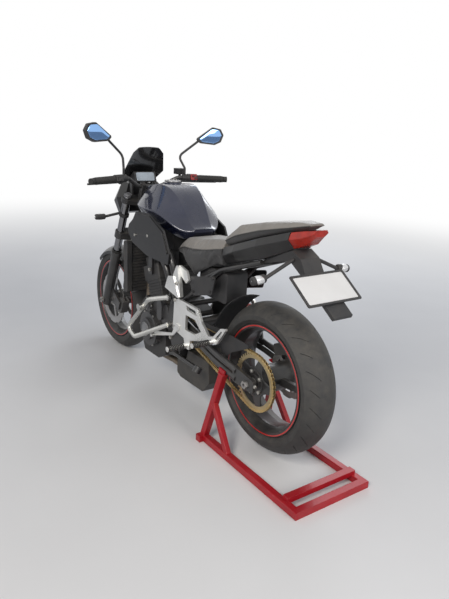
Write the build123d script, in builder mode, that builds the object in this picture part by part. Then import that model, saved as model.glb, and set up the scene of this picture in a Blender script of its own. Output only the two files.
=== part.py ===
from build123d import *
import math
import os

os.makedirs("parts", exist_ok=True)

# Standard motorcycle held by a rear paddock stand, in millimetres and degrees.
# +X points forward, +Y to the rider's left and +Z up. The origin is on the ground,
# under the middle of the overall length.

# Wheels and stance
wheelbase = 1410.0
front_tyre_radius = 300.0
front_tyre_width = 120.0
rear_tyre_radius = 312.0
rear_tyre_width = 160.0
rear_lift = 42.0
stand_overhang = 390.0
rim_flange_radius = 228.0
rim_wall = 7.0
tyre_wall = 9.0
seat_gap = 0.3
moving_gap = 5.0

# Steering geometry
rake = 23.25
fork_offset = 27.0
fork_spread = 212.0
fork_length = 700.0
stanchion_radius = 20.5
slider_radius = 27.0
slider_top = 345.0
lower_clamp_height = 460.0
head_tube_bottom = 495.0
head_tube_top = 645.0
head_tube_radius = 30.0
stem_radius = 15.0

# Swingarm and drive
swingarm_run = 540.0
swingarm_rise = 67.0
swingarm_tube_radius = 14.0
swingarm_tube_pitch = 34.0
swingarm_half_width = 133.0
chain_line = 98.0
chain_pitch = 15.875
rear_teeth = 46
front_teeth = 15
chain_plate_height = 14.0
chain_plate_thickness = 2.4
chain_inner_width = 7.9
sprocket_thickness = 7.0

# Frame
frame_tube_radius = 16.0
frame_half_width = 150.0
pivot_plate_inner = 118.0
pivot_plate_thickness = 18.0
rail_radius = 11.0

# Body datum: a point on the ground ahead of the swingarm pivot, from which the frame,
# the engine and the bodywork are measured
pivot_to_datum = 165.0
pivot_height = 421.0
front_trail_to_datum = 705.0

# Stations worked out from those sizes
overall_length = front_tyre_radius + wheelbase + stand_overhang
front_axle_x = overall_length / 2 - front_tyre_radius
rear_axle_x = front_axle_x - wheelbase
front_axle_z = front_tyre_radius
rear_axle_z = rear_tyre_radius + rear_lift
pivot_x = rear_axle_x + swingarm_run
pivot_z = rear_axle_z + swingarm_rise
datum_x = pivot_x + pivot_to_datum
datum_z = pivot_z - pivot_height
rake_sine = math.sin(math.radians(rake))
rake_cosine = math.cos(math.radians(rake))


def at_body(x, y, z):
    """A point measured forward, across and up from the body datum."""
    return (datum_x + x, y, datum_z + z)


def at_fork(x, y, z):
    """The same frame carried by the front axle, for what turns with the steering."""
    return (front_axle_x - front_trail_to_datum + x, y, front_axle_z - front_tyre_radius + z)


def at_head(along, y, ahead):
    """A point measured up the steering axis and ahead of it, from beside the front axle."""
    base_x = front_axle_x - fork_offset * rake_cosine
    base_z = front_axle_z - fork_offset * rake_sine
    return (
        base_x - along * rake_sine + ahead * rake_cosine,
        y,
        base_z + along * rake_cosine + ahead * rake_sine,
    )


def steering_plane(along, ahead=0.0, y=0.0):
    """A plane square to the steering axis, its X pointing ahead."""
    return Plane(
        origin=at_head(along, y, ahead),
        x_dir=(rake_cosine, 0, rake_sine),
        z_dir=(-rake_sine, 0, rake_cosine),
    )


def wheel_plane(x, z, y=0.0):
    """A plane through a wheel's axle: X runs across the wheel and Y up its radius."""
    return Plane(origin=(x, y, z), x_dir=(0, 1, 0), z_dir=(1, 0, 0))


def side_plane(x, z, y):
    """A side view plane facing the rider's left: X points back and Y up."""
    return Plane(origin=(x, y, z), x_dir=(-1, 0, 0), z_dir=(0, 1, 0))


def bent_tube(points, bend, radius):
    """A round bar swept along straight runs joined by bends."""
    with BuildPart() as piece:
        with BuildLine() as centre:
            FilletPolyline(*points, radius=bend)
        path = centre.wires()[0]
        with BuildSketch(Plane(origin=path @ 0, z_dir=path % 0)):
            Circle(radius)
        sweep(path=path)
    return piece.part


def rod(start, end, radius):
    """A straight round bar between two points."""
    run = Vector(*end) - Vector(*start)
    with BuildPart(Plane(origin=start, z_dir=run)) as piece:
        Cylinder(radius, run.length, align=(Align.CENTER, Align.CENTER, Align.MIN))
    return piece.part


def side_plate(points, corner, y_low, y_high, datum=at_body):
    """A plate between two widths, its side view a rounded outline of (x, z) points that are
    measured from a datum."""
    outline = Plane(origin=datum(0, y_high, 0), x_dir=(1, 0, 0), z_dir=(0, -1, 0))
    with BuildPart() as piece:
        with BuildSketch(outline):
            with BuildLine():
                FilletPolyline(*points, radius=corner, close=True)
            make_face()
        extrude(amount=y_high - y_low)
    return piece.part


def rounded_sections(rows, corner, datum=at_body, ruled=False):
    """A body lofted through upright sections, measured from a datum. Each row: x, then the
    half width and height of the section's low, middle and top corners."""
    with BuildPart() as piece:
        for x, low_half, low_z, mid_half, mid_z, top_half, top_z in rows:
            section = Plane(origin=datum(x, 0, 0), x_dir=(0, 1, 0), z_dir=(1, 0, 0))
            with BuildSketch(section):
                with BuildLine():
                    FilletPolyline(
                        (-low_half, low_z),
                        (low_half, low_z),
                        (mid_half, mid_z),
                        (top_half, top_z),
                        (-top_half, top_z),
                        (-mid_half, mid_z),
                        radius=corner,
                        close=True,
                    )
                make_face()
        loft(ruled=ruled)
    return piece.part


def write(part, name):
    part.label = name
    export_step(part, f"parts/{name}.step")


def write_pair(part, name):
    """Write a left-hand piece and its mirror image as one node."""
    with BuildPart() as pair:
        add(part)
        mirror(about=Plane.XZ)
    write(pair.part, name)


# Tyres: a hollow casing with a round crown, seated on the rim's two bead seats
bead_radius = rim_flange_radius - 8.0


def make_tyre(x, z, radius, width, shoulder_drop, bead_half):
    half = width / 2
    shoulder = radius - shoulder_drop
    wall_middle = (shoulder + rim_flange_radius) / 2
    bead_outer = bead_half + tyre_wall
    crown_height = radius - shoulder
    right_half = [(0.0, radius)]
    for share in (0.42, 0.76, 1.0):
        right_half.append((half * share, radius - crown_height * share**2.3))
    right_half += [
        (half - 1.0, wall_middle),
        (bead_outer, rim_flange_radius + 2.0),
        (bead_outer, bead_radius),
        (bead_half, bead_radius),
        (half - tyre_wall, shoulder - tyre_wall / 2),
        (0.0, radius - tyre_wall * 1.3),
    ]
    with BuildPart() as tyre:
        with BuildSketch(wheel_plane(x, z)):
            with BuildLine():
                Polyline(*right_half)
                mirror(about=Plane.YZ)
            make_face()
        revolve(axis=Axis((x, 0, z), (0, 1, 0)))
    return tyre.part


front_bead_half = 38.0
rear_bead_half = 52.0
front_crown_drop = 34.0
rear_crown_drop = 46.0
write(
    make_tyre(
        front_axle_x,
        front_axle_z,
        front_tyre_radius,
        front_tyre_width,
        front_crown_drop,
        front_bead_half,
    ),
    "front_tyre",
)
write(
    make_tyre(
        rear_axle_x,
        rear_axle_z,
        rear_tyre_radius,
        rear_tyre_width,
        rear_crown_drop,
        rear_bead_half,
    ),
    "rear_tyre",
)


# Rims: a drop-centre barrel, six tapered spokes and a hub bored for its axle
spoke_count = 6
spoke_thickness = 18.0
spoke_hub_width = 34.0
spoke_rim_width = 22.0
spoke_sweep = 12.0
front_axle_radius = 10.0
rear_axle_radius = 10.0
front_hub_radius = 46.0
rear_hub_radius = 58.0
rear_hub_left = 66.0
disc_thickness = 4.5
front_disc_line = 67.0
rear_disc_line = -82.0
half_disc = disc_thickness / 2
front_hub_face = front_disc_line - half_disc
rear_hub_right = rear_disc_line + half_disc
well_depth = 16.0


def make_rim(x, z, bead_half, hub_radius, hub_right, hub_left, axle_radius):
    axle = Axis((x, 0, z), (0, 1, 0))
    seat = bead_radius - seat_gap
    well = seat - well_depth
    flange_outer = bead_half + tyre_wall + rim_wall
    inner = well - rim_wall
    with BuildPart() as rim:
        with BuildSketch(wheel_plane(x, z)):
            with BuildLine() as outline:
                Polyline(
                    (0, well),
                    (bead_half * 0.45, well),
                    (bead_half * 0.7, seat),
                    (flange_outer - rim_wall + seat_gap, seat),
                    (flange_outer - rim_wall + seat_gap, rim_flange_radius),
                    (flange_outer, rim_flange_radius),
                    (flange_outer, seat - rim_wall),
                    (bead_half * 0.75, inner + 4.0),
                    (bead_half * 0.5, inner),
                    (0, inner),
                )
                mirror(about=Plane.YZ)
            make_face()
        revolve(axis=axle)
        with BuildSketch(side_plane(x, z, 0)):
            with PolarLocations(0, spoke_count):
                with BuildLine():
                    Polyline(
                        (hub_radius * 0.6, -spoke_hub_width / 2),
                        (inner + 2.0, spoke_sweep - spoke_rim_width / 2),
                        (inner + 2.0, spoke_sweep + spoke_rim_width / 2),
                        (hub_radius * 0.6, spoke_hub_width / 2),
                        close=True,
                    )
                make_face()
        extrude(amount=spoke_thickness / 2, both=True)
        with BuildSketch(side_plane(x, z, hub_right)):
            Circle(hub_radius)
        extrude(amount=hub_left - hub_right)
        with BuildSketch(side_plane(x, z, hub_right)):
            Circle(axle_radius + seat_gap)
        extrude(amount=hub_left - hub_right, mode=Mode.SUBTRACT)
    return rim.part


write(
    make_rim(
        front_axle_x,
        front_axle_z,
        front_bead_half,
        front_hub_radius,
        -front_hub_face,
        front_hub_face,
        front_axle_radius,
    ),
    "front_rim",
)
write(
    make_rim(
        rear_axle_x,
        rear_axle_z,
        rear_bead_half,
        rear_hub_radius,
        rear_hub_right,
        rear_hub_left,
        rear_axle_radius,
    ),
    "rear_rim",
)

# Brake discs: wavy-edged rings carried on spidered centres
front_disc_radius = 150.0
rear_disc_radius = 110.0
petal_count = 10
petal_depth = 5.0



def make_disc(x, z, inner_face, outer_face, radius, ring_width, bolt_radius, bore):
    """A brake disc between two faces: the ring, its five arms and its bolted centre."""
    petal_radius = math.pi * radius / petal_count / 1.6
    inner_radius = radius - ring_width
    with BuildPart() as disc:
        with BuildSketch(side_plane(x, z, inner_face)):
            Circle(radius)
            with PolarLocations(radius + petal_radius - petal_depth, petal_count):
                Circle(petal_radius, mode=Mode.SUBTRACT)
            Circle(inner_radius, mode=Mode.SUBTRACT)
            with PolarLocations((inner_radius + bolt_radius) / 2, 5):
                Rectangle(inner_radius - bolt_radius + 12.0, 14.0)
            Circle(bolt_radius)
            Circle(bore, mode=Mode.SUBTRACT)
        extrude(amount=outer_face - inner_face)
    return disc.part


front_disc_bore = 26.0
front_disc_bolts = 44.0
rear_disc_bore = 28.0
rear_disc_bolts = 46.0
front_ring_width = 38.0
rear_ring_width = 30.0

front_disc = make_disc(
    front_axle_x,
    front_axle_z,
    front_disc_line - half_disc,
    front_disc_line + half_disc,
    front_disc_radius,
    front_ring_width,
    front_disc_bolts,
    front_disc_bore,
)
write_pair(front_disc, "front_discs")
rear_disc = make_disc(
    rear_axle_x,
    rear_axle_z,
    rear_disc_line - half_disc,
    rear_disc_line + half_disc,
    rear_disc_radius,
    rear_ring_width,
    rear_disc_bolts,
    rear_disc_bore,
)
write(rear_disc, "rear_disc")

# Rear sprocket with its carrier, bolted to the hub's left face
carrier_radius = 60.0
tooth_height = 5.5
sprocket_window_count = 5
rear_pitch_radius = chain_pitch / (2 * math.sin(math.pi / rear_teeth))
front_pitch_radius = chain_pitch / (2 * math.sin(math.pi / front_teeth))
sprocket_low = chain_line - sprocket_thickness / 2
sprocket_high = chain_line + sprocket_thickness / 2
carrier_boss = 4.0


def sprocket_outline(teeth, pitch_radius):
    """One closed outline of blunt teeth with a gap between each two."""
    tip = pitch_radius + tooth_height
    root = pitch_radius - tooth_height
    points = []
    for tooth in range(teeth):
        for share, radius in ((-0.32, root), (-0.12, tip), (0.12, tip), (0.32, root)):
            angle = 2 * math.pi * (tooth + share) / teeth
            points.append((radius * math.cos(angle), radius * math.sin(angle)))
    return points


with BuildPart() as rear_sprocket:
    with BuildSketch(side_plane(rear_axle_x, rear_axle_z, sprocket_low)):
        with BuildLine():
            Polyline(*sprocket_outline(rear_teeth, rear_pitch_radius), close=True)
        make_face()
        with PolarLocations((carrier_radius + rear_pitch_radius) / 2, sprocket_window_count):
            Circle((rear_pitch_radius - carrier_radius) / 3.2, mode=Mode.SUBTRACT)
    extrude(amount=sprocket_thickness)
    with BuildSketch(side_plane(rear_axle_x, rear_axle_z, rear_hub_left)):
        Circle(carrier_radius)
    extrude(amount=sprocket_high + carrier_boss - rear_hub_left)
    with BuildSketch(side_plane(rear_axle_x, rear_axle_z, rear_hub_left)):
        Circle(rear_axle_radius + seat_gap)
    extrude(amount=sprocket_high + carrier_boss - rear_hub_left, mode=Mode.SUBTRACT)
write(rear_sprocket.part, "rear_sprocket")

# Chain: two unbroken rows of link plates beside the sprocket teeth, joined by the rollers
# of the two straight runs
front_sprocket_lead = 85.0
front_sprocket_rise = 10.0
front_sprocket_x = pivot_x + front_sprocket_lead
front_sprocket_z = pivot_z + front_sprocket_rise
roller_radius = 5.0
chain_outer_half = chain_inner_width / 2 + chain_plate_thickness
drive_run = front_sprocket_x - rear_axle_x
drive_rise = front_sprocket_z - rear_axle_z
drive_centres = math.hypot(drive_run, drive_rise)
drive_angle = math.degrees(math.atan2(drive_rise, drive_run))
lap_angle = math.degrees(math.asin((rear_pitch_radius - front_pitch_radius) / drive_centres))


def chain_loop(reach):
    """The chain's side outline at a distance outside its pitch line, rear axle at the origin
    and the front sprocket along X."""
    rear = rear_pitch_radius + reach
    front = front_pitch_radius + reach
    cosine = math.cos(math.radians(lap_angle))
    sine = math.sin(math.radians(lap_angle))
    with BuildLine() as loop:
        rear_bend = ThreePointArc(
            (rear * sine, rear * cosine), (-rear, 0), (rear * sine, -rear * cosine)
        )
        front_bend = ThreePointArc(
            (drive_centres + front * sine, -front * cosine),
            (drive_centres + front, 0),
            (drive_centres + front * sine, front * cosine),
        )
        Line(rear_bend @ 1, front_bend @ 0)
        Line(front_bend @ 1, rear_bend @ 0)
    return make_face(loop.edges()).face()


def chain_plane(y):
    """A side plane at the rear axle whose X points along the drive to the front sprocket."""
    along = Vector(drive_run, 0, drive_rise)
    return Plane(origin=(rear_axle_x, y, rear_axle_z), x_dir=along, z_dir=(0, -1, 0))


chain_face = Face(
    chain_loop(chain_plate_height / 2).outer_wire(),
    [chain_loop(-chain_plate_height / 2).outer_wire()],
)
roller_spots = []
straight_run = drive_centres * math.cos(math.radians(lap_angle))
tooth_reach = rear_pitch_radius + tooth_height + roller_radius + 1.0
first_roller = math.ceil(math.sqrt(tooth_reach**2 - rear_pitch_radius**2) / chain_pitch)
last_roller = int(straight_run / chain_pitch) - 2
for side in (1, -1):
    for number in range(first_roller, last_roller + 1):
        travel = number * chain_pitch
        start_x = rear_pitch_radius * math.sin(math.radians(lap_angle))
        start_z = rear_pitch_radius * math.cos(math.radians(lap_angle))
        roller_spots.append(
            (
                start_x + travel * math.cos(math.radians(lap_angle)),
                side * (start_z - travel * math.sin(math.radians(lap_angle))),
            )
        )
with BuildPart() as chain:
    for row_high in (chain_line + chain_outer_half, chain_line - chain_inner_width / 2):
        with BuildSketch(chain_plane(row_high)):
            add(chain_face)
        extrude(amount=chain_plate_thickness)
    with BuildSketch(chain_plane(chain_line + chain_inner_width / 2)):
        with Locations(*roller_spots):
            RegularPolygon(roller_radius, 6)
    extrude(amount=chain_inner_width)
write(chain.part, "chain")

# Axles: hollow spindles with shouldered nuts
front_axle_bore = 7.0
rear_axle_bore = 6.0
fork_half = fork_spread / 2
front_axle_half = fork_half + slider_radius + 6.0
swingarm_plate_inner = swingarm_half_width - 8.0
swingarm_plate_outer = swingarm_half_width + 8.0
front_spacer_radius = 18.0
rear_spacer_radius = 20.0
axle_nut_radius = 17.0
axle_nut_width = 14.0


def make_axle(x, z, radius, bore, half_length, spacers, nut_inner):
    """A hollow spindle with spacers between two (low, high) widths and a nut at each end."""
    with BuildPart() as axle:
        with BuildSketch(side_plane(x, z, -half_length)):
            Circle(radius)
        extrude(amount=2 * half_length)
        for low, high, spacer_radius in spacers:
            with BuildSketch(side_plane(x, z, low)):
                Circle(spacer_radius)
            extrude(amount=high - low)
        for low in (nut_inner, -nut_inner - axle_nut_width):
            with BuildSketch(side_plane(x, z, low)):
                RegularPolygon(axle_nut_radius, 6)
            extrude(amount=axle_nut_width)
        with BuildSketch(side_plane(x, z, -half_length)):
            Circle(bore)
        extrude(amount=2 * half_length, mode=Mode.SUBTRACT)
    return axle.part


front_disc_outer = front_disc_line + half_disc
fork_inner = fork_half - slider_radius
front_nut_inner = fork_half + slider_radius + seat_gap
front_axle = make_axle(
    front_axle_x,
    front_axle_z,
    front_axle_radius,
    front_axle_bore,
    front_nut_inner + axle_nut_width,
    (
        (front_hub_face + seat_gap, fork_inner - seat_gap, front_spacer_radius),
        (seat_gap - fork_inner, -front_hub_face - seat_gap, front_spacer_radius),
    ),
    front_nut_inner,
)
write(front_axle, "front_axle")
rear_nut_inner = swingarm_plate_outer + seat_gap
rear_axle = make_axle(
    rear_axle_x,
    rear_axle_z,
    rear_axle_radius,
    rear_axle_bore,
    rear_nut_inner + axle_nut_width,
    (
        (sprocket_high + carrier_boss + seat_gap, swingarm_plate_inner, rear_spacer_radius),
        (-swingarm_plate_inner, rear_hub_right - seat_gap, rear_spacer_radius),
    ),
    rear_nut_inner,
)
write(rear_axle, "rear_axle")

# Swingarm: two tubes on each side, a cross tube and the pivot tube, with an axle plate let
# into the slotted ends of each pair of tubes
pivot_tube_radius = 24.0
pivot_bolt_radius = 10.0
pivot_half = pivot_plate_inner - seat_gap
pivot_leg_y = 98.0
leg_bend_back = 310.0
cross_tube_back = 97.0
cross_tube_radius = 20.0
axle_plate_front = 95.0
axle_plate_rear = 42.0
arm_slope = swingarm_rise / swingarm_run
shock_eye_low = (-430.0, -103.0, 492.0)
shock_eye_high = (-205.0, -57.0, 688.0)
shock_eye_half = 19.0
shock_lug_width = 8.0
arm_lug_face = shock_eye_low[1] - shock_eye_half - seat_gap


def on_arm(back, y, lift=0.0):
    """A point behind the pivot along the line to the rear axle."""
    return (pivot_x - back, y, pivot_z - back * arm_slope + lift)


def axle_plate_outline(clearance):
    """The side view of an axle plate, widened all round by a clearance."""
    with BuildSketch() as outline:
        with BuildLine():
            FilletPolyline(
                (-axle_plate_front, 46.0),
                (axle_plate_rear, 26.0),
                (axle_plate_rear, -26.0),
                (-axle_plate_front, -22.0),
                radius=12.0,
                close=True,
            )
        make_face()
        if clearance:
            offset(amount=clearance)
    return outline.sketch


with BuildPart() as swingarm:
    for lift in (swingarm_tube_pitch / 2, -swingarm_tube_pitch / 2):
        add(
            bent_tube(
                (
                    on_arm(0, pivot_leg_y, lift),
                    on_arm(leg_bend_back, swingarm_half_width, lift),
                    on_arm(swingarm_run - axle_plate_front + 20.0, swingarm_half_width, lift),
                ),
                120.0,
                swingarm_tube_radius,
            )
        )
    with BuildSketch(side_plane(rear_axle_x, rear_axle_z, swingarm_plate_inner - seat_gap)):
        add(axle_plate_outline(seat_gap))
    extrude(amount=swingarm_plate_outer - swingarm_plate_inner + 2 * seat_gap, mode=Mode.SUBTRACT)
    mirror(about=Plane.XZ)
    with Locations(Plane(origin=on_arm(cross_tube_back, 0), z_dir=(0, 1, 0))):
        Cylinder(cross_tube_radius, 2 * pivot_leg_y + 8.0)
    add(
        side_plate(
            ((-476.0, 384.0), (-388.0, 396.0), (-412.0, 492.0), (-430.0, 508.0), (-446.0, 492.0)),
            5.0,
            arm_lug_face - shock_lug_width,
            arm_lug_face,
        )
    )
    with Locations(Plane(origin=(pivot_x, 0, pivot_z), z_dir=(0, 1, 0))):
        Cylinder(pivot_tube_radius, 2 * pivot_half)
        Cylinder(pivot_bolt_radius + seat_gap, 2 * pivot_half, mode=Mode.SUBTRACT)
write(swingarm.part, "swingarm")

with BuildPart() as axle_plate:
    with BuildSketch(side_plane(rear_axle_x, rear_axle_z, swingarm_plate_inner)):
        add(axle_plate_outline(0.0))
        Circle(rear_axle_radius + seat_gap, mode=Mode.SUBTRACT)
    extrude(amount=swingarm_plate_outer - swingarm_plate_inner)
write_pair(axle_plate.part, "axle_plates")

# Frame: head tube, two tubes on each side, pivot plates, cross tubes and the seat rails
gusset_half = 22.0
gusset_plane = Plane(
    origin=at_head(0, gusset_half, 0), x_dir=(rake_cosine, 0, rake_sine), z_dir=(0, -1, 0)
)
crankcase_half = 117.0
hanger_thickness = 12.0
radiator_top = 725.0
radiator_rear_x = 318.0
tube_y = frame_half_width - 4.0
plate_outer = pivot_plate_inner + pivot_plate_thickness
plate_middle = pivot_plate_inner + pivot_plate_thickness / 2
upper_tube_bend = at_body(-115.0, tube_y, 721.0)
upper_tube_end = at_body(-160.0, plate_middle, 524.0)
lower_rail_bend = at_body(-300.0, 115.0, 640.0)
lower_rail_end = at_body(-430.0, 90.0, 745.0)
upper_tube = bent_tube(
    (
        at_head(head_tube_top - 32.0, gusset_half, 0),
        at_body(1.0, tube_y, 812.0),
        upper_tube_bend,
        upper_tube_end,
    ),
    (90.0, 110.0),
    frame_tube_radius,
)
lower_tube_start = at_head(head_tube_bottom + 40.0, gusset_half, 0)
lower_tube_knee = at_body(19.0, tube_y, 747.0)
lower_tube = bent_tube(
    (
        lower_tube_start,
        lower_tube_knee,
        at_body(-66.0, tube_y, 676.0),
        at_body(-118.0, plate_middle, 516.0),
    ),
    (90.0, 90.0),
    frame_tube_radius,
)
top_rail = bent_tube(
    (
        at_body(-122.0, 134.0, 630.0),
        at_body(-260.0, 112.0, 650.0),
        at_body(-430.0, 90.0, 745.0),
        at_body(-650.0, 60.0, 825.5),
    ),
    180.0,
    rail_radius,
)
lower_rail = bent_tube(
    (
        at_body(-160.0, 130.0, 520.0),
        lower_rail_bend,
        lower_rail_end,
    ),
    200.0,
    rail_radius,
)
pivot_plate = side_plate(
    (
        (-218.0, 330.0),
        (-208.0, 512.0),
        (-160.0, 556.0),
        (-98.0, 536.0),
        (-62.0, 440.0),
        (-62.0, 388.0),
        (-110.0, 308.0),
        (-178.0, 296.0),
    ),
    12.0,
    pivot_plate_inner,
    plate_outer,
)
head_hanger = side_plate(
    ((112.0, 596.0), (150.0, 596.0), (142.0, 762.0), (112.0, 762.0)),
    6.0,
    crankcase_half + seat_gap,
    crankcase_half + seat_gap + hanger_thickness,
)
hanger_x = radiator_rear_x + 18.0
hanger_share = (lower_tube_start[0] - at_body(hanger_x, 0, 0)[0]) / (
    lower_tube_start[0] - lower_tube_knee[0]
)
hanger_y = gusset_half + (tube_y - gusset_half) * hanger_share
hanger_top = (
    lower_tube_start[2] + (lower_tube_knee[2] - lower_tube_start[2]) * hanger_share - datum_z
)
radiator_hanger = side_plate(
    (
        (hanger_x - hanger_thickness, radiator_top + seat_gap),
        (hanger_x + hanger_thickness, radiator_top + seat_gap),
        (hanger_x + hanger_thickness, hanger_top),
        (hanger_x - hanger_thickness, hanger_top),
    ),
    4.0,
    hanger_y - hanger_thickness / 2,
    hanger_y + hanger_thickness / 2,
)
lug_face = shock_eye_high[1] - shock_eye_half - seat_gap
shock_lug = side_plate(
    ((-142.0, 699.0), (-142.0, 677.0), (-200.0, 672.0), (-222.0, 688.0), (-200.0, 704.0)),
    6.0,
    lug_face - shock_lug_width,
    lug_face,
)
# The side stand turns on a slanted bolt under the left pivot plate
stand_axis = Vector(0, -0.86, -0.51).normalized()
stand_hinge = (-120.0, 128.0, 270.0)
hinge_bolt_radius = 6.0
hinge_radius = 15.0
hinge_width = 12.0
hinge_start = Vector(*at_body(*stand_hinge)) + stand_axis * (hinge_width + seat_gap) / 2
hinge_end = hinge_start + stand_axis * hinge_width
hinge_middle = (hinge_start + hinge_end) / 2
stand_lug = rod(hinge_start, hinge_end, hinge_radius)
hinge_up = stand_axis.cross(Vector(1, 0, 0))
stand_lug_post = rod(
    hinge_middle + hinge_up * 11.0,
    Vector(hinge_middle.X, plate_middle, hinge_middle.Z + 58.0),
    7.0,
)
with BuildPart() as frame:
    for member in (
        upper_tube,
        lower_tube,
        top_rail,
        lower_rail,
        pivot_plate,
        head_hanger,
        radiator_hanger,
    ):
        add(member)
    mirror(about=Plane.XZ)
    with BuildSketch(steering_plane(head_tube_bottom)):
        Circle(head_tube_radius)
    extrude(amount=head_tube_top - head_tube_bottom)
    with BuildSketch(gusset_plane):
        with BuildLine():
            Polyline(
                (0.0, head_tube_bottom + 34.0),
                (0.0, head_tube_top - 12.0),
                (-96.0, head_tube_top + 19.0),
                (-128.0, head_tube_top + 20.0),
                (-148.0, head_tube_bottom + 124.0),
                (-113.0, head_tube_bottom + 79.0),
                close=True,
            )
        make_face()
    extrude(amount=2 * gusset_half)
    for x, z, half, radius in (
        (-150.0, 688.0, 140.0, 13.0),
        (-168.0, 520.0, 124.0, 13.0),
        (-150.0, 318.0, 124.0, 13.0),
        (-560.0, 791.0, 72.0, 9.0),
    ):
        with Locations(Plane(origin=at_body(x, 0, z), z_dir=(0, 1, 0))):
            Cylinder(radius, 2 * half)
    with BuildSketch(steering_plane(head_tube_bottom)):
        Circle(stem_radius + seat_gap)
    extrude(amount=head_tube_top - head_tube_bottom, mode=Mode.SUBTRACT)
    with Locations(Plane(origin=(pivot_x, 0, pivot_z), z_dir=(0, 1, 0))):
        Cylinder(pivot_bolt_radius + seat_gap, 2 * plate_outer, mode=Mode.SUBTRACT)
    add(shock_lug)
    add(stand_lug)
    add(stand_lug_post)
    add(
        rod(hinge_start - stand_axis, hinge_end + stand_axis, hinge_bolt_radius + seat_gap),
        mode=Mode.SUBTRACT,
    )
write(frame.part, "frame")

# Engine: gearbox, crankcase and the forward-leaning cylinders with their head
gearbox_half = 84.0
cylinder_lean = 20.0
gearbox = side_plate(
    ((-128.0, 452.0), (-128.0, 330.0), (-96.0, 222.0), (20.0, 215.0), (20.0, 478.0), (-60.0, 478.0)),
    14.0,
    -gearbox_half,
    gearbox_half,
)
crankcase = side_plate(
    (
        (-20.0, 452.0),
        (-20.0, 214.0),
        (48.0, 176.0),
        (196.0, 172.0),
        (232.0, 236.0),
        (236.0, 420.0),
        (186.0, 470.0),
        (10.0, 478.0),
    ),
    14.0,
    -crankcase_half,
    crankcase_half,
)
cylinder_base = Plane(
    origin=at_body(94.0, 0, 455.0),
    x_dir=(math.cos(math.radians(cylinder_lean)), 0, -math.sin(math.radians(cylinder_lean))),
    z_dir=(math.sin(math.radians(cylinder_lean)), 0, math.cos(math.radians(cylinder_lean))),
)
output_shaft_radius = 15.0
block_depth = 142.0
block_half = 112.0
block_height = 112.0
fin_pitch = 14.0
fin_gap = 6.0
fin_depth = 5.0
fin_count = 6
filter_radius = 33.0
filter_length = 52.0
with BuildPart() as engine:
    add(gearbox)
    add(crankcase)
    for low, high, depth, half_width in (
        (0.0, block_height, block_depth, block_half),
        (block_height, block_height + 6.0, 150.0, 116.0),
        (block_height + 6.0, 190.0, 160.0, 117.0),
        (190.0, 232.0, 128.0, 104.0),
    ):
        with BuildSketch(cylinder_base.offset(low)):
            RectangleRounded(depth, 2 * half_width, 12.0)
        extrude(amount=high - low)
    for number in range(fin_count):
        with BuildSketch(cylinder_base.offset(22.0 + number * fin_pitch)):
            Rectangle(block_depth + 20.0, 2 * block_half + 20.0)
            RectangleRounded(
                block_depth - 2 * fin_depth, 2 * (block_half - fin_depth), 8.0, mode=Mode.SUBTRACT
            )
        extrude(amount=fin_gap, mode=Mode.SUBTRACT)
    with BuildSketch(cylinder_base.offset(232.0)):
        with GridLocations(58.0, 104.0, 2, 2):
            Circle(15.0)
    extrude(amount=7.0)
    with Locations(Plane(origin=at_body(210.0, 0, 300.0), z_dir=(1, 0, 0.12))):
        Cylinder(filter_radius, filter_length, align=(Align.CENTER, Align.CENTER, Align.MIN))
    for side in (-1, 1):
        lug_middle = (gearbox_half - 10.0 + pivot_half) / 2
        with Locations(Location(at_body(-76.0, side * lug_middle, 345.0))):
            Box(60.0, pivot_half - gearbox_half + 10.0, 30.0)
    with BuildSketch(side_plane(front_sprocket_x, front_sprocket_z, gearbox_half)):
        Circle(output_shaft_radius)
    extrude(amount=sprocket_high + 3.0 - gearbox_half)
    with BuildSketch(side_plane(front_sprocket_x, front_sprocket_z, sprocket_low)):
        with BuildLine():
            Polyline(*sprocket_outline(front_teeth, front_pitch_radius), close=True)
        make_face()
    extrude(amount=sprocket_thickness)
write(engine.part, "engine")

# Engine covers: the generator cover and sprocket cover on the left, the clutch cover and
# water pump on the right, each with a raised centre
# Columns: x, z, side, radius, thickness, raised radius, raised height
cover_rows = (
    (112.0, 318.0, 1, 86.0, 30.0, 56.0, 12.0),
    (78.0, 335.0, -1, 96.0, 32.0, 60.0, 12.0),
    (178.0, 250.0, -1, 38.0, 26.0, 22.0, 10.0),
    (150.0, 432.0, 1, 30.0, 12.0, 20.0, 6.0),
)
cover_seat = crankcase_half + seat_gap
upright = (Align.CENTER, Align.CENTER, Align.MIN)
with BuildPart() as engine_covers:
    for x, z, side, radius, thickness, raised_radius, raised_height in cover_rows:
        with Locations(Plane(origin=at_body(x, side * cover_seat, z), z_dir=(0, side, 0))):
            Cylinder(radius, thickness, align=upright)
            Cylinder(raised_radius, thickness + raised_height, align=upright)
            with PolarLocations(radius + 1.0, 6):
                Cylinder(8.0, thickness - 6.0, align=upright)
    add(
        side_plate(
            ((-58.0, 382.0), (4.0, 382.0), (14.0, 470.0), (-50.0, 484.0)),
            12.0,
            cover_seat,
            crankcase_half + 12.0,
        )
    )
    with BuildSketch(side_plane(datum_x + 6.0, datum_z + 446.0, cover_seat)):
        with Locations((0, 0)):
            SlotOverall(100.0, 46.0, rotation=90)
    extrude(amount=26.0)
write(engine_covers.part, "engine_covers")

# Exhaust: two headers from the cylinder head round the crankcase to the box underneath
header_radius = 19.0
header_spread = 48.0
head_front = 80.0
head_port = 154.0
header_reach = 62.0
header_x = 284.0
header_floor = 150.0
header_end = -61.7
header_pinch = 0.6


def cylinder_point(ahead, y, up):
    """A point measured in the leaning frame of the cylinders."""
    return tuple(cylinder_base.from_local_coords(Vector(ahead, y, up)))


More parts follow.
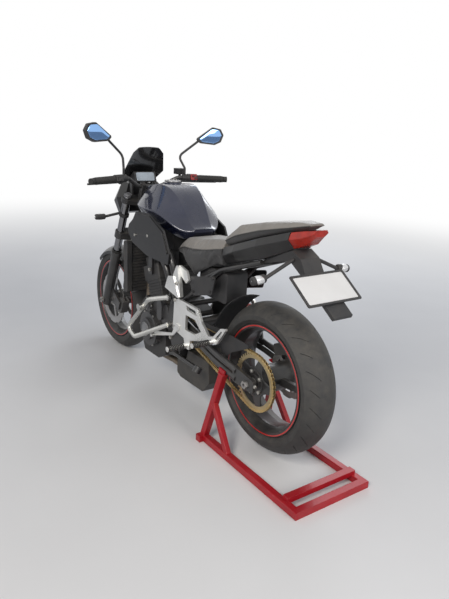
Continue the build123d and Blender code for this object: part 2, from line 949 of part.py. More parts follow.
with BuildPart() as exhaust_pipes:
    for side in (-1, 1):
        y = side * header_spread
        port = cylinder_point(head_front + seat_gap, y, head_port)
        knee = cylinder_point(head_front + header_reach, y, head_port)
        pipe = bent_tube(
            (
                port,
                knee,
                (knee[0], y, datum_z + 240.0),
                at_body(214.0, y, header_floor),
                at_body(40.0, y * header_pinch, 154.0),
                at_body(header_end, y * header_pinch, 154.0),
            ),
            (42.0, 60.0, 60.0, 60.0),
            header_radius,
        )
        add(pipe)
write(exhaust_pipes.part, "exhaust_pipes")

muffler_left = 72.0
muffler_right = -112.0
with BuildPart() as muffler:
    add(
        side_plate(
            (
                (-62.0, 208.0),
                (-62.0, 134.0),
                (-96.0, 120.0),
                (-296.0, 126.0),
                (-346.0, 184.0),
                (-336.0, 286.0),
                (-158.0, 286.0),
                (-138.0, 212.0),
            ),
            12.0,
            muffler_right,
            muffler_left,
        )
    )
    with Locations(Plane(origin=at_body(-292.0, muffler_right, 208.0), z_dir=(-0.35, -1, -0.2))):
        Cylinder(27.0, 90.0)
        Cylinder(22.0, 90.0, mode=Mode.SUBTRACT)
write(muffler.part, "muffler")

# Radiator: the finned core with a tank at each side
radiator_half = 165.0
radiator_height = 270.0
radiator_depth = 30.0
side_tank_width = 26.0
slat_count = 16
slat_pitch = 15.5
slat_depth = 5.0
with BuildPart() as radiator:
    with Locations(
        Location(
            at_body(radiator_rear_x + radiator_depth / 2, 0, radiator_top - radiator_height / 2)
        )
    ):
        Box(radiator_depth, 2 * radiator_half, radiator_height)
    for side in (-1, 1):
        with Locations(
            Location(
                at_body(
                    radiator_rear_x + radiator_depth / 2,
                    side * (radiator_half - side_tank_width / 2),
                    radiator_top - radiator_height / 2,
                )
            )
        ):
            Box(radiator_depth + 14.0, side_tank_width, radiator_height - 12.0)
    for side in (-1, 1):
        face_x = radiator_rear_x + radiator_depth / 2 + side * radiator_depth / 2
        with Locations(Location(at_body(face_x, 0, radiator_top - radiator_height / 2))):
            for number in range(slat_count):
                with Locations((0, 0, (number - (slat_count - 1) / 2) * slat_pitch)):
                    Box(
                        2 * slat_depth,
                        2 * (radiator_half - side_tank_width - 4.0),
                        slat_pitch * 0.55,
                        mode=Mode.SUBTRACT,
                    )
write(radiator.part, "radiator")

# Fuel tank and the covers on its flanks
# Columns: x, low half width, low z, middle half width, middle z, top half width, top z
tank_rows = (
    (-146.0, 46.0, 846.0, 66.0, 854.0, 44.0, 862.0),
    (-70.0, 84.0, 812.0, 128.0, 874.0, 60.0, 928.0),
    (40.0, 116.0, 842.0, 160.0, 918.0, 76.0, 1022.0),
    (140.0, 122.0, 852.0, 162.0, 920.0, 88.0, 1034.0),
    (240.0, 108.0, 864.0, 146.0, 922.0, 80.0, 1014.0),
    (322.0, 62.0, 878.0, 84.0, 915.0, 48.0, 974.0),
)
cap_radius = 44.0
with BuildPart() as tank:
    add(rounded_sections(tank_rows, 7.0))
    with Locations(Plane(origin=at_body(150.0, 0, 1026.0), z_dir=(0.06, 0, 1))):
        Cylinder(cap_radius, 13.0, align=(Align.CENTER, Align.CENTER, Align.MIN))
        Cylinder(cap_radius - 16.0, 16.0, align=(Align.CENTER, Align.CENTER, Align.MIN))
write(tank.part, "tank")
cover_inner = tube_y + frame_tube_radius + seat_gap
cover_thickness = 9.0
panel_step = 5.0
tank_cover = side_plate(
    (
        (-118.0, 702.0),
        (84.0, 702.0),
        (244.0, 738.0),
        (296.0, 790.0),
        (280.0, 822.0),
        (238.0, 853.0),
        (204.0, 896.0),
        (60.0, 905.0),
        (-70.0, 850.0),
        (-128.0, 752.0),
    ),
    9.0,
    cover_inner,
    cover_inner + cover_thickness,
)
# The upper panel stands proud of the lower one along a line that rises to the front
cover_panel = side_plate(
    (
        (-120.0, 748.0),
        (46.0, 774.0),
        (262.0, 822.0),
        (230.0, 850.0),
        (200.0, 888.0),
        (60.0, 896.0),
        (-66.0, 842.0),
    ),
    7.0,
    cover_inner,
    cover_inner + cover_thickness + panel_step,
)
with BuildPart() as stepped_cover:
    add(tank_cover)
    add(cover_panel)
write_pair(stepped_cover.part, "tank_covers")

airbox_half = 62.0
intake_radius = 20.0
airbox_floor = 724.0
airbox_roof = 832.0
# The tank rests on four posts that rise from the airbox
with BuildPart() as tank_posts:
    with Locations(Location(at_body(140.0, 0, airbox_roof - 10.0))):
        with GridLocations(120.0, 76.0, 2, 2):
            Cylinder(9.0, 70.0, align=(Align.CENTER, Align.CENTER, Align.MIN))
    add(tank.part, mode=Mode.SUBTRACT)
with BuildPart() as airbox:
    add(
        side_plate(
            (
                (20.0, airbox_floor),
                (226.0, airbox_floor),
                (226.0, airbox_roof),
                (60.0, airbox_roof),
                (20.0, airbox_roof - 18.0),
            ),
            10.0,
            -airbox_half,
            airbox_half,
        )
    )
    for side in (-1, 1):
        y = side * header_spread
        elbow = cylinder_point(-head_front - 40.0, y, head_port)
        add(
            bent_tube(
                (
                    cylinder_point(-head_front - seat_gap, y, head_port),
                    elbow,
                    (elbow[0], y, datum_z + airbox_floor + 6.0),
                ),
                28.0,
                intake_radius,
            )
        )
    add(tank_posts.part)
write(airbox.part, "airbox")

# Seats: the rider's pad and the raised pad behind it
rider_rows = (
    (-66.0, 84.0, 742.0, 100.0, 762.0, 78.0, 780.0),
    (-150.0, 98.0, 708.0, 118.0, 788.0, 84.0, 828.0),
    (-250.0, 108.0, 676.0, 134.0, 800.0, 94.0, 838.0),
    (-346.0, 100.0, 726.0, 126.0, 815.0, 90.0, 858.0),
    (-400.0, 92.0, 758.0, 116.0, 828.0, 86.0, 866.0),
    (-436.0, 86.0, 757.2, 108.0, 836.0, 82.0, 868.0),
)
seat_pan_clearance = 54.0
seat_pan_height = shock_eye_high[2] + seat_pan_clearance
seat_pan_half = 96.0
seat_length = rider_rows[0][0] - rider_rows[-1][0]
with BuildPart() as rider_seat:
    add(rounded_sections(rider_rows, 9.0, ruled=True))
    add(tank.part, mode=Mode.SUBTRACT)
    with Locations(Location(at_body(rider_rows[0][0] - seat_length / 2, 0, seat_pan_height))):
        Box(
            seat_length + 50.0,
            2 * seat_pan_half,
            100.0,
            align=(Align.CENTER, Align.CENTER, Align.MAX),
            mode=Mode.SUBTRACT,
        )
write(rider_seat.part, "rider_seat")
tail_gap = 0.5
cowl_rows = (
    (-445.0, 78.0, 772.0, 104.0, 812.0, 98.0, 846.0),
    (-520.0, 76.0, 796.0, 112.0, 842.0, 100.0, 874.0),
    (-650.0, 66.0, 838.0, 102.0, 890.0, 92.0, 922.0),
    (-800.0, 40.0, 904.0, 74.0, 942.0, 64.0, 972.0),
)
pillion_rows = (
    (-445.0, 88.0, 846.0 + tail_gap, 108.0, 872.0, 88.0, 888.0),
    (-520.0, 96.0, 874.0 + tail_gap, 110.0, 908.0, 78.0, 948.0),
    (-650.0, 88.0, 922.0 + tail_gap, 100.0, 950.0, 76.0, 980.0),
    (-800.0, 60.0, 972.0 + tail_gap, 72.0, 984.0, 56.0, 1006.0),
    (-876.0, 34.0, 992.0 + tail_gap, 38.0, 1000.0, 28.0, 1010.0),
)
write(rounded_sections(pillion_rows, 5.0, ruled=True), "pillion_seat")
write(rounded_sections(cowl_rows, 6.0, ruled=True), "tail_cowl")
lamp_rows = (
    (-800.0 - seat_gap, 38.0, 908.0, 70.0, 944.0, 60.0, 970.0),
    (-850.0, 30.0, 930.0, 56.0, 956.0, 46.0, 982.0),
    (-890.0, 18.0, 966.0, 36.0, 978.0, 28.0, 989.0),
)
write(rounded_sections(lamp_rows, 4.0, ruled=True), "tail_lamp")

# Rear fender: a tray under the tail that bends down behind the wheel to hold the plate
tray_half = 46.0
plate_slope = 35.5
plate_width = 250.0
plate_length = 130.0
plate_thickness = 7.0
tongue_x = -1036.0
tongue_z = 828.0 + (tongue_x + 880.0) * math.tan(math.radians(plate_slope))
write(
    side_plate(
        (
            (-640.0, 833.0),
            (-800.0, 903.4),
            (-846.0, 880.0),
            (-880.0, 828.0),
            (tongue_x, tongue_z),
            (tongue_x + 6.0, tongue_z - 12.0),
            (-872.0, 812.0),
            (-790.0, 862.0),
            (-640.0, 818.0),
        ),
        2.0,
        -tray_half,
        tray_half,
    ),
    "rear_fender",
)
plate_plane = Plane(
    origin=at_body(-880.0, 0, 828.0 + seat_gap * 2),
    x_dir=(0, 1, 0),
    z_dir=(-math.sin(math.radians(plate_slope)), 0, math.cos(math.radians(plate_slope))),
)
with BuildPart() as number_plate:
    with BuildSketch(plate_plane):
        with Locations((0, plate_length / 2 + 4.0)):
            RectangleRounded(plate_width, plate_length, 8.0)
    extrude(amount=plate_thickness)
write(number_plate.part, "number_plate")

signal_radius = 16.0
signal_stalk_radius = 7.0


def make_signal(root, stalk_end, pod_end, pod_radius):
    """A turn signal: a slim stalk and a rounded pod at its end."""
    with BuildPart() as pod:
        add(rod(stalk_end, pod_end, pod_radius))
        fillet(pod.edges().filter_by(GeomType.CIRCLE), pod_radius * 0.45)
    with BuildPart() as signal:
        add(rod(root, stalk_end, signal_stalk_radius))
        add(pod.part)
    return signal.part


rear_signal = make_signal(
    at_body(-812.0, tray_half + 3.4, 872.0),
    at_body(-815.0, 176.0, 818.0),
    at_body(-815.0, 236.0, 812.0),
    signal_radius,
)
write_pair(rear_signal, "rear_signals")

# Pivot covers, footrest brackets, pegs and pedals
cover_steps = (0.0, -13.0, -22.0)
front_facet = side_plate(
    ((-168.0, 664.0), (-123.0, 654.0), (-95.0, 594.0), (-223.0, 572.0)),
    4.0,
    cover_inner + cover_steps[0],
    cover_inner + cover_steps[0] + 9.0,
)
middle_facet = side_plate(
    ((-190.0, 722.0), (-157.0, 664.0), (-206.0, 584.0), (-226.0, 576.0), (-216.0, 640.0)),
    4.0,
    cover_inner + cover_steps[1],
    cover_inner + cover_steps[1] + 17.0,
)
rear_facet = side_plate(
    ((-184.0, 718.0), (-248.0, 704.0), (-269.0, 666.0), (-251.0, 648.0), (-198.0, 676.0)),
    4.0,
    cover_inner + cover_steps[2],
    cover_inner + cover_steps[2] + 12.0,
)
cover_boss_radius = 9.0
cover_boss_share = 0.41
cover_boss_reach = frame_tube_radius + 1.4
panel_boss_radius = 8.0
panel_boss_share = 0.35
panel_boss_reach = rail_radius + 1.8


def boss_to_tube(start, end, share, reach, outer, radius):
    """A boss from beside a straight tube run, at a share of its length, out to a width."""
    spot = Vector(*start) + (Vector(*end) - Vector(*start)) * share
    return rod((spot.X, spot.Y + reach, spot.Z), (spot.X, outer, spot.Z), radius)


with BuildPart() as bossed_cover:
    for facet in (front_facet, middle_facet, rear_facet):
        add(facet)
    add(
        boss_to_tube(
            upper_tube_bend,
            upper_tube_end,
            cover_boss_share,
            cover_boss_reach,
            cover_inner + 1.0,
            cover_boss_radius,
        )
    )
write_pair(bossed_cover.part, "pivot_covers")

bracket_inner = plate_outer + seat_gap
bracket_outer = 157.0
bracket_thickness = 12.0
bracket_windows = (
    ((-262.0, 552.0), (-340.0, 549.0), (-352.0, 530.0), (-272.0, 532.0)),
    ((-262.0, 508.0), (-340.0, 508.0), (-392.0, 470.0), (-340.0, 440.0), (-262.0, 436.0)),
    ((-498.0, 478.0), (-538.0, 521.0), (-550.0, 525.0), (-507.0, 471.0)),
)
with BuildPart() as footrest_bracket:
    add(
        side_plate(
            (
                (-160.0, 548.0),
                (-200.0, 564.0),
                (-358.0, 562.0),
                (-388.0, 516.0),
                (-447.0, 470.0),
                (-482.0, 479.0),
                (-534.0, 532.0),
                (-574.0, 543.0),
                (-512.0, 456.0),
                (-436.0, 440.0),
                (-306.0, 400.0),
                (-298.0, 352.0),
                (-262.0, 352.0),
                (-252.0, 394.0),
                (-152.0, 408.0),
            ),
            5.0,
            bracket_outer - bracket_thickness,
            bracket_outer,
        )
    )
    for window in bracket_windows:
        add(side_plate(window, 3.0, bracket_inner, bracket_outer), mode=Mode.SUBTRACT)
    for x, z in ((-190.0, 488.0), (-180.0, 430.0)):
        with Locations(Plane(origin=at_body(x, bracket_inner, z), z_dir=(0, 1, 0))):
            Cylinder(12.0, bracket_outer - bracket_inner, align=upright)
write_pair(footrest_bracket.part, "footrest_brackets")

peg_tip = 258.0
peg_rows = ((-280.0, 368.0, 12.0), (-480.0, 457.0, 11.0))
with BuildPart() as footpegs:
    for x, z, radius in peg_rows:
        add(rod(at_body(x, bracket_outer + seat_gap, z), at_body(x, peg_tip, z), radius))

pedal_inner = bracket_outer + seat_gap
with BuildPart() as foot_controls:
    add(footpegs.part)
    add(
        side_plate(
            (
                (-216.0, 444.0),
                (-190.0, 446.0),
                (-156.0, 388.0),
                (12.0, 340.0),
                (12.0, 318.0),
                (-166.0, 378.0),
                (-216.0, 424.0),
            ),
            4.0,
            pedal_inner,
            pedal_inner + 6.0,
        )
    )
    add(rod(at_body(2.0, pedal_inner, 326.0), at_body(2.0, 188.0, 326.0), 8.0))
    mirror(about=Plane.XZ)
write(foot_controls.part, "foot_controls")

# Crash guards: one bent bar on each side, from the frame tube round to the pivot plate
guard_radius = 11.5
guard_boss_radius = 14.0
with BuildPart() as crash_bar:
    add(
        bent_tube(
            (
                at_body(-108.0, 156.0, 545.0),
                at_body(-25.0, 215.0, 520.0),
                at_body(150.0, 240.0, 330.0),
                at_body(60.0, 245.0, 310.0),
                at_body(-89.0, 147.0, 402.0),
            ),
            (45.0, 22.0, 18.0),
            guard_radius,
        )
    )
    add(rod(at_body(-108.0, 151.4, 545.0), at_body(-108.0, 166.0, 545.0), guard_boss_radius))
    add(rod(at_body(-89.0, bracket_inner, 402.0), at_body(-89.0, 152.0, 402.0), guard_boss_radius))
    add(rod(at_body(18.0, 222.0, 473.0), at_body(18.0, 250.0, 473.0), 17.0))
write_pair(crash_bar.part, "crash_bars")

# Side panels under the seat, chain guard and shock absorber
panel_inner = 132.5
side_panel = side_plate(
    ((-243.0, 678.0), (-286.0, 602.0), (-429.0, 642.0), (-452.0, 728.0)),
    10.0,
    panel_inner,
    panel_inner + 5.0,
)
with BuildPart() as bossed_panel:
    add(side_panel)
    add(
        boss_to_tube(
            lower_rail_bend,
            lower_rail_end,
            panel_boss_share,
            panel_boss_reach,
            panel_inner + 1.0,
            panel_boss_radius,
        )
    )
write_pair(bossed_panel.part, "side_panels")

guard_inner = chain_line + chain_outer_half + moving_gap
arm_inner = swingarm_half_width - swingarm_tube_radius
with BuildPart() as chain_guard:
    add(
        side_plate(
            (
                (-440.0, 500.0),
                (-300.0, 487.0),
                (-296.0, 470.0),
                (-440.0, 478.0),
                (-500.0, 392.0),
                (-516.0, 392.0),
                (-560.0, 430.0),
                (-668.0, 486.0),
                (-660.0, 500.0),
            ),
            3.0,
            guard_inner,
            guard_inner + 4.0,
        )
    )
    guard_seat = on_arm(340.0, 0, swingarm_tube_pitch / 2)
    add(
        rod(
            (guard_seat[0], guard_inner, guard_seat[2]),
            (guard_seat[0], arm_inner - seat_gap, guard_seat[2]),
            8.0,
        )
    )
write(chain_guard.part, "chain_guard")

shock_low = at_body(*shock_eye_low)
shock_high = at_body(*shock_eye_high)
shock_way = (Vector(*shock_high) - Vector(*shock_low)).normalized()


def on_shock(share):
    """A point between the shock absorber's two eyes."""
    return tuple(Vector(*shock_low) + (Vector(*shock_high) - Vector(*shock_low)) * share)


with BuildPart() as shock_absorber:
    add(rod(on_shock(0.02), on_shock(0.6), 9.0))
    add(rod(on_shock(0.5), on_shock(0.86), 18.0))
    add(rod(on_shock(0.8), on_shock(0.98), 13.0))
    add(rod(on_shock(0.08), on_shock(0.12), 29.0))
    add(rod(on_shock(0.82), on_shock(0.86), 29.0))
    for eye in (shock_low, shock_high):
        with Locations(Plane(origin=eye, z_dir=(0, 1, 0))):
            Cylinder(15.0, 2 * shock_eye_half)
write(shock_absorber.part, "shock_absorber")

with BuildPart() as shock_spring:
    add(rod(on_shock(0.125), on_shock(0.815), 28.0))
    add(rod(on_shock(0.125), on_shock(0.815), 19.0), mode=Mode.SUBTRACT)
write(shock_spring.part, "shock_spring")

# Brake calipers: a block with a slot for its disc
caliper_wall = 6.0


def make_caliper(plane, length, height, inner_wall, outer_wall):
    """A caliper on a side plane at its disc's middle, its slot open towards the axle (-Y)."""
    slot = disc_thickness + 2 * moving_gap + 0.5
    with BuildPart() as caliper:
        with BuildSketch(plane.offset(-slot / 2 - inner_wall)):
            RectangleRounded(length, height, 12.0)
        extrude(amount=slot + inner_wall + outer_wall)
        with BuildSketch(plane.offset(-slot / 2)):
            with Locations((0, -caliper_wall)):
                Rectangle(length + 2.0, height)
        extrude(amount=slot, mode=Mode.SUBTRACT)
    return caliper.part


def turned_plane(x, z, y, angle, out):
    """A plane facing +Y, turned so that its Y points away from an axle at (x, z)."""
    outward = (math.cos(math.radians(angle)), 0, math.sin(math.radians(angle)))
    origin = (x + out * outward[0], y, z + out * outward[2])
    return Plane(origin=origin, x_dir=(outward[2], 0, -outward[0]), z_dir=(0, -1, 0))


rear_caliper_angle = 68.0
rear_caliper_out = 104.0
rear_bracket_inner = -104.0
rear_bracket_thickness = 7.0
rear_caliper_plane = turned_plane(
    rear_axle_x, rear_axle_z, rear_disc_line, rear_caliper_angle, rear_caliper_out
)
with BuildPart() as rear_caliper:
    add(make_caliper(rear_caliper_plane, 92.0, 50.0, 14.0, 8.5))
    with BuildSketch(side_plane(rear_axle_x, rear_axle_z, rear_bracket_inner)):
        with BuildLine():
            Polyline((-24.0, 0.0), (-66.0, 84.0), (-4.0, 112.0), (24.0, 0.0), close=True)
        make_face()
        Circle(26.0)
        Circle(rear_spacer_radius + seat_gap, mode=Mode.SUBTRACT)
    extrude(amount=rear_bracket_thickness)
write(rear_caliper.part, "rear_caliper")

# Front fork: sliders below, stanchions above, held by the two clamps
fork_low_end = -26.0
lug_inner = 92.0
lug_outer = 104.0
caliper_up = 58.0
caliper_back = 134.0
with BuildPart() as fork_slider:
    with BuildSketch(steering_plane(fork_low_end, fork_offset, fork_half)):
        Circle(slider_radius)
    extrude(amount=slider_top - fork_low_end)
    with BuildSketch(steering_plane(slider_top - 26.0, fork_offset, fork_half)):
        Circle(slider_radius + 3.0)
    extrude(amount=26.0)
    lug_plane = Plane(
        origin=at_head(0, lug_outer, 0),
        x_dir=(rake_cosine, 0, rake_sine),
        z_dir=(0, -1, 0),
    )
    with BuildSketch(lug_plane):
        with BuildLine():
            Polyline(
                (fork_offset, 20.0),
                (fork_offset - 142.0, 34.0),
                (fork_offset - 142.0, 84.0),
                (fork_offset, 104.0),
                close=True,
            )
        make_face()
    extrude(amount=lug_outer - lug_inner)
    with Locations(Plane(origin=(front_axle_x, fork_half, front_axle_z), z_dir=(0, 1, 0))):
        Cylinder(front_axle_radius + seat_gap, 4 * slider_radius, mode=Mode.SUBTRACT)
write_pair(fork_slider.part, "fork_sliders")

front_caliper_plane = Plane(
    origin=at_head(caliper_up, front_disc_line, fork_offset - caliper_back),
    x_dir=(-rake_sine, 0, rake_cosine),
    z_dir=(0, -1, 0),
)
front_outer_wall = lug_inner - seat_gap - front_disc_line - half_disc - moving_gap - 0.25
front_caliper = make_caliper(front_caliper_plane, 90.0, 50.0, front_outer_wall, 9.0)
write_pair(front_caliper, "front_calipers")

with BuildPart() as fork_tube:
    with BuildSketch(steering_plane(slider_top, fork_offset, fork_half)):
        Circle(stanchion_radius)
    extrude(amount=fork_length - slider_top)
write_pair(fork_tube.part, "fork_tubes")

# Triple clamps on their stem, with the handlebar risers and the lamp's arms
lower_clamp_depth = 36.0
upper_clamp_low = 661.0
upper_clamp_depth = 24.0
clamp_wall = 9.0
bar_radius = 11.0
bar_along = 759.0
bar_ahead = 13.0
riser_y = 38.0
riser_radius = 13.0
saddle_half = 24.0
arm_y = 56.0
arm_thickness = 8.0
meter_floor = 1008.0
lamp_back = 505.0


def make_clamp(low, depth):
    """A clamp plate that spans both fork tubes and the stem."""
    with BuildPart() as clamp:
        with BuildSketch(steering_plane(low)):
            with Locations((fork_offset, fork_half), (fork_offset, -fork_half)):
                Circle(stanchion_radius + clamp_wall)
            Circle(stem_radius + 15.0)
            make_hull()
            with Locations((fork_offset, fork_half), (fork_offset, -fork_half)):
                Circle(stanchion_radius + seat_gap, mode=Mode.SUBTRACT)
        extrude(amount=depth)
    return clamp.part


lower_clamp_low = lower_clamp_height - lower_clamp_depth / 2
lower_clamp = make_clamp(lower_clamp_low, lower_clamp_depth)
upper_clamp = make_clamp(upper_clamp_low, upper_clamp_depth)
lamp_arm = side_plate(
    (
        (446.0, 904.0),
        (lamp_back - seat_gap, 904.0),
        (lamp_back - seat_gap, 940.0),
        (494.0, 948.0),
        (494.0, meter_floor - seat_gap),
        (470.0, meter_floor - seat_gap),
        (466.0, 940.0),
        (446.0, 936.0),
    ),
    3.0,
    arm_y,
    arm_y + arm_thickness,
    datum=at_fork,
)
with BuildPart() as triple_clamps:
    add(lower_clamp)
    add(upper_clamp)
    with BuildSketch(steering_plane(lower_clamp_low)):
        Circle(stem_radius)
    extrude(amount=upper_clamp_low + upper_clamp_depth + 8.0 - lower_clamp_low)
    with BuildSketch(steering_plane(lower_clamp_low)):
        Circle(stem_radius + 11.0)
    extrude(amount=head_tube_bottom - seat_gap - lower_clamp_low)
    with BuildSketch(steering_plane(head_tube_top + seat_gap)):
        Circle(stem_radius + 11.0)
    extrude(amount=upper_clamp_low - head_tube_top)
    with BuildSketch(steering_plane(upper_clamp_low, bar_ahead)):
        with Locations((0, riser_y), (0, -riser_y)):
            Circle(riser_radius)
    extrude(amount=bar_along - upper_clamp_low)
    with BuildSketch(steering_plane(bar_along - 17.0, bar_ahead)):
        with Locations((0, riser_y), (0, -riser_y)):
            RectangleRounded(36.0, saddle_half, 5.0)
    extrude(amount=34.0)
    for arm_part in (lamp_arm, mirror(lamp_arm, about=Plane.XZ)):
        add(arm_part)
    with Locations(Plane(origin=at_head(bar_along, 0, bar_ahead), z_dir=(0, 1, 0))):
        Cylinder(bar_radius + seat_gap, 4 * riser_y, mode=Mode.SUBTRACT)
write(triple_clamps.part, "triple_clamps")

# Handlebar with its grips, and the controls clamped inside them
bar_points = (
    (bar_along, -11.0 + 24.0, 66.0),
    (822.0, -11.0, 145.0),
    (857.0, -100.0, 366.0),
)
bar_left = [at_head(along, y, ahead) for along, ahead, y in bar_points]
bar_right = [at_head(along, -y, ahead) for along, ahead, y in reversed(bar_points)]
write(bent_tube(bar_right + bar_left, 50.0, bar_radius), "handlebar")
bar_knee = Vector(*bar_left[1])
bar_tip = Vector(*bar_left[2])


def on_bar(y, lift=0.0, ahead=0.0):
    """A point on the handlebar's outer run at a width, or above and ahead of it."""
    share = (y - bar_knee.Y) / (bar_tip.Y - bar_knee.Y)
    point = bar_knee + (bar_tip - bar_knee) * share
    return (point.X + ahead, point.Y, point.Z + lift)


def bar_sleeve(y_low, y_high, radius):
    """A sleeve on the handlebar between two widths."""
    with BuildPart() as sleeve:
        add(rod(on_bar(y_low), on_bar(y_high), radius))
        add(rod(on_bar(y_low - 20.0), on_bar(y_high + 20.0), bar_radius + seat_gap), mode=Mode.SUBTRACT)
    return sleeve.part


grip_start = 236.0
grip_end = 364.0
grip_radius = 16.5
weight_radius = 15.0
with BuildPart() as grips:
    add(bar_sleeve(grip_start, grip_end, grip_radius))
    add(rod(on_bar(366.4), on_bar(384.0), weight_radius))
    mirror(about=Plane.XZ)
write(grips.part, "grips")

perch_y = 175.0
lever_thickness = 8.0
lever_plane = Plane(origin=at_fork(0, 0, 1012.0))
with BuildPart() as control:
    add(bar_sleeve(perch_y - 12.0, perch_y + 12.0, 19.0))
    add(bar_sleeve(187.0, 232.0, 21.0))
    add(rod(on_bar(perch_y, 0, 14.0), on_bar(perch_y, -26.0, 46.0), 10.0))
    with BuildSketch(lever_plane):
        with BuildLine():
            FilletPolyline(
                (382.0, 158.0),
                (362.0, 206.0),
                (344.0, 250.0),
                (314.0, 366.0),
                (326.0, 370.0),
                (358.0, 252.0),
                (390.0, 198.0),
                (396.0, 160.0),
                radius=5.0,
                close=True,
            )
        make_face()
    extrude(amount=lever_thickness)
    add(rod(on_bar(150.0), on_bar(250.0), bar_radius + seat_gap), mode=Mode.SUBTRACT)
reservoir_y = perch_y - 4.0
with BuildPart() as controls:
    add(control.part)
    mirror(about=Plane.XZ)
    reservoir_seat = on_bar(reservoir_y, 14.0, 46.0)
    with Locations(Location((reservoir_seat[0], -reservoir_y, reservoir_seat[2]))):
        Box(42.0, 46.0, 30.0, align=upright)
    add(
        rod(
            (reservoir_seat[0] - 8.0, -reservoir_y, reservoir_seat[2] - 34.0),
            (reservoir_seat[0] - 2.0, -reservoir_y, reservoir_seat[2] + 6.0),
            7.0,
        )
    )
write(controls.part, "controls")

# Mirrors: a bent stem from each perch to a six-sided head
mirror_turn = 12.0
mirror_depth = 20.0
mirror_middle = (307.0, 313.0, 1255.0)
mirror_outline = (
    (74.0, 8.0),
    (56.0, 38.0),
    (14.0, 46.0),
    (-78.0, -18.0),
    (-52.0, -38.0),
    (24.0, -44.0),
    (60.0, -28.0),
)
mirror_plane = Plane(
    origin=at_fork(*mirror_middle),
    x_dir=(-math.sin(math.radians(mirror_turn)), math.cos(math.radians(mirror_turn)), 0),
    z_dir=(math.cos(math.radians(mirror_turn)), math.sin(math.radians(mirror_turn)), 0),
)
stem_foot = on_bar(perch_y, 19.6)
with BuildPart() as side_mirror:
    with BuildSketch(mirror_plane):
        with BuildLine():
            FilletPolyline(*mirror_outline, radius=9.0, close=True)
        make_face()
    extrude(amount=mirror_depth)
    add(
        bent_tube(
            (
                stem_foot,
                (stem_foot[0], stem_foot[1], stem_foot[2] + 30.0),
                at_fork(374.0, 160.0, 1147.0),
                at_fork(340.0, 256.0, 1226.0),
            ),
            (10.0, 30.0),
            6.0,
        )
    )
write_pair(side_mirror.part, "mirrors")

# Headlamp, meter, screen and front signals
# Columns: x, low half width, low z, middle half width, middle z, top half width, top z
lamp_shell_rows = (
    (505.0, 66.0, 846.0, 86.0, 925.0, 66.0, 996.0),
    (560.0, 84.0, 828.0, 110.0, 915.0, 76.0, 1004.0),
    (618.0, 72.0, 824.0, 98.0, 892.0, 62.0, 968.0),
    (652.0, 48.0, 842.0, 68.0, 884.0, 44.0, 930.0),
)
meter_half = 62.0
with BuildPart() as headlamp:
    add(rounded_sections(lamp_shell_rows, 8.0, datum=at_fork, ruled=True))
    with BuildSketch(Plane(origin=at_fork(lamp_shell_rows[-1][0], 0, 886.0), z_dir=(1, 0, 0))):
        Ellipse(54.0, 32.0, rotation=90)
    extrude(amount=-6.0, mode=Mode.SUBTRACT)
    with Locations(Location(at_fork(524.0, 0, 985.0))):
        Box(30.0, 100.0, 2 * (meter_floor - 985.0))
write(headlamp.part, "headlamp")
write(
    side_plate(
        ((428.0, meter_floor), (494.0, meter_floor), (486.0, 1038.0), (452.0, 1064.0)),
        6.0,
        -meter_half,
        meter_half,
        datum=at_fork,
    ),
    "meter",
)
screen_foot = (530.0, 1000.0)
screen_top = (405.0, 1190.0)
screen_curve = 280.0
screen_wall = 4.0
screen_length = math.hypot(screen_top[0] - screen_foot[0], screen_top[1] - screen_foot[1])
screen_rise = Vector(screen_top[0] - screen_foot[0], 0, screen_top[1] - screen_foot[1]).normalized()
screen_normal = Vector(screen_rise.Z, 0, -screen_rise.X)
screen_foot_plane = Plane(
    origin=at_fork(screen_foot[0], 0, screen_foot[1]), x_dir=(0, 1, 0), z_dir=screen_rise
)
screen_face_plane = Plane(
    origin=at_fork(screen_foot[0], 0, screen_foot[1]), x_dir=(0, 1, 0), z_dir=screen_normal
)
screen_outline = (
    (-72.0, 0.0),
    (72.0, 0.0),
    (114.0, 96.0),
    (86.0, 200.0),
    (58.0, screen_length),
    (-58.0, screen_length),
    (-86.0, 200.0),
    (-114.0, 96.0),
)
with BuildPart() as flyscreen:
    with BuildSketch(screen_foot_plane):
        with Locations((0, screen_curve)):
            Circle(screen_curve)
            Circle(screen_curve - screen_wall, mode=Mode.SUBTRACT)
    extrude(amount=screen_length)
    with BuildSketch(screen_face_plane):
        with BuildLine():
            FilletPolyline(*screen_outline, radius=14.0, close=True)
        make_face()
    extrude(amount=90.0, both=True, mode=Mode.INTERSECT)
    with Locations(Location(at_fork(530.0, 0, meter_floor + seat_gap - 50.0))):
        Box(200.0, 300.0, 100.0, mode=Mode.SUBTRACT)
write(flyscreen.part, "flyscreen")

signal_along = 575.0
signal_depth = 16.0
with BuildPart() as signal_clamp:
    with BuildSketch(steering_plane(signal_along, fork_offset, fork_half)):
        Circle(stanchion_radius + 6.0)
    extrude(amount=signal_depth)
    add(
        make_signal(
            at_head(signal_along + 8.0, fork_half + 12.0, fork_offset + 18.0),
            at_fork(515.0, 196.0, 823.0),
            at_fork(515.0, 252.0, 823.0),
            15.0,
        )
    )
    with BuildSketch(steering_plane(signal_along - 40.0, fork_offset, fork_half)):
        Circle(stanchion_radius + seat_gap)
    extrude(amount=100.0, mode=Mode.SUBTRACT)
write_pair(signal_clamp.part, "front_signals")

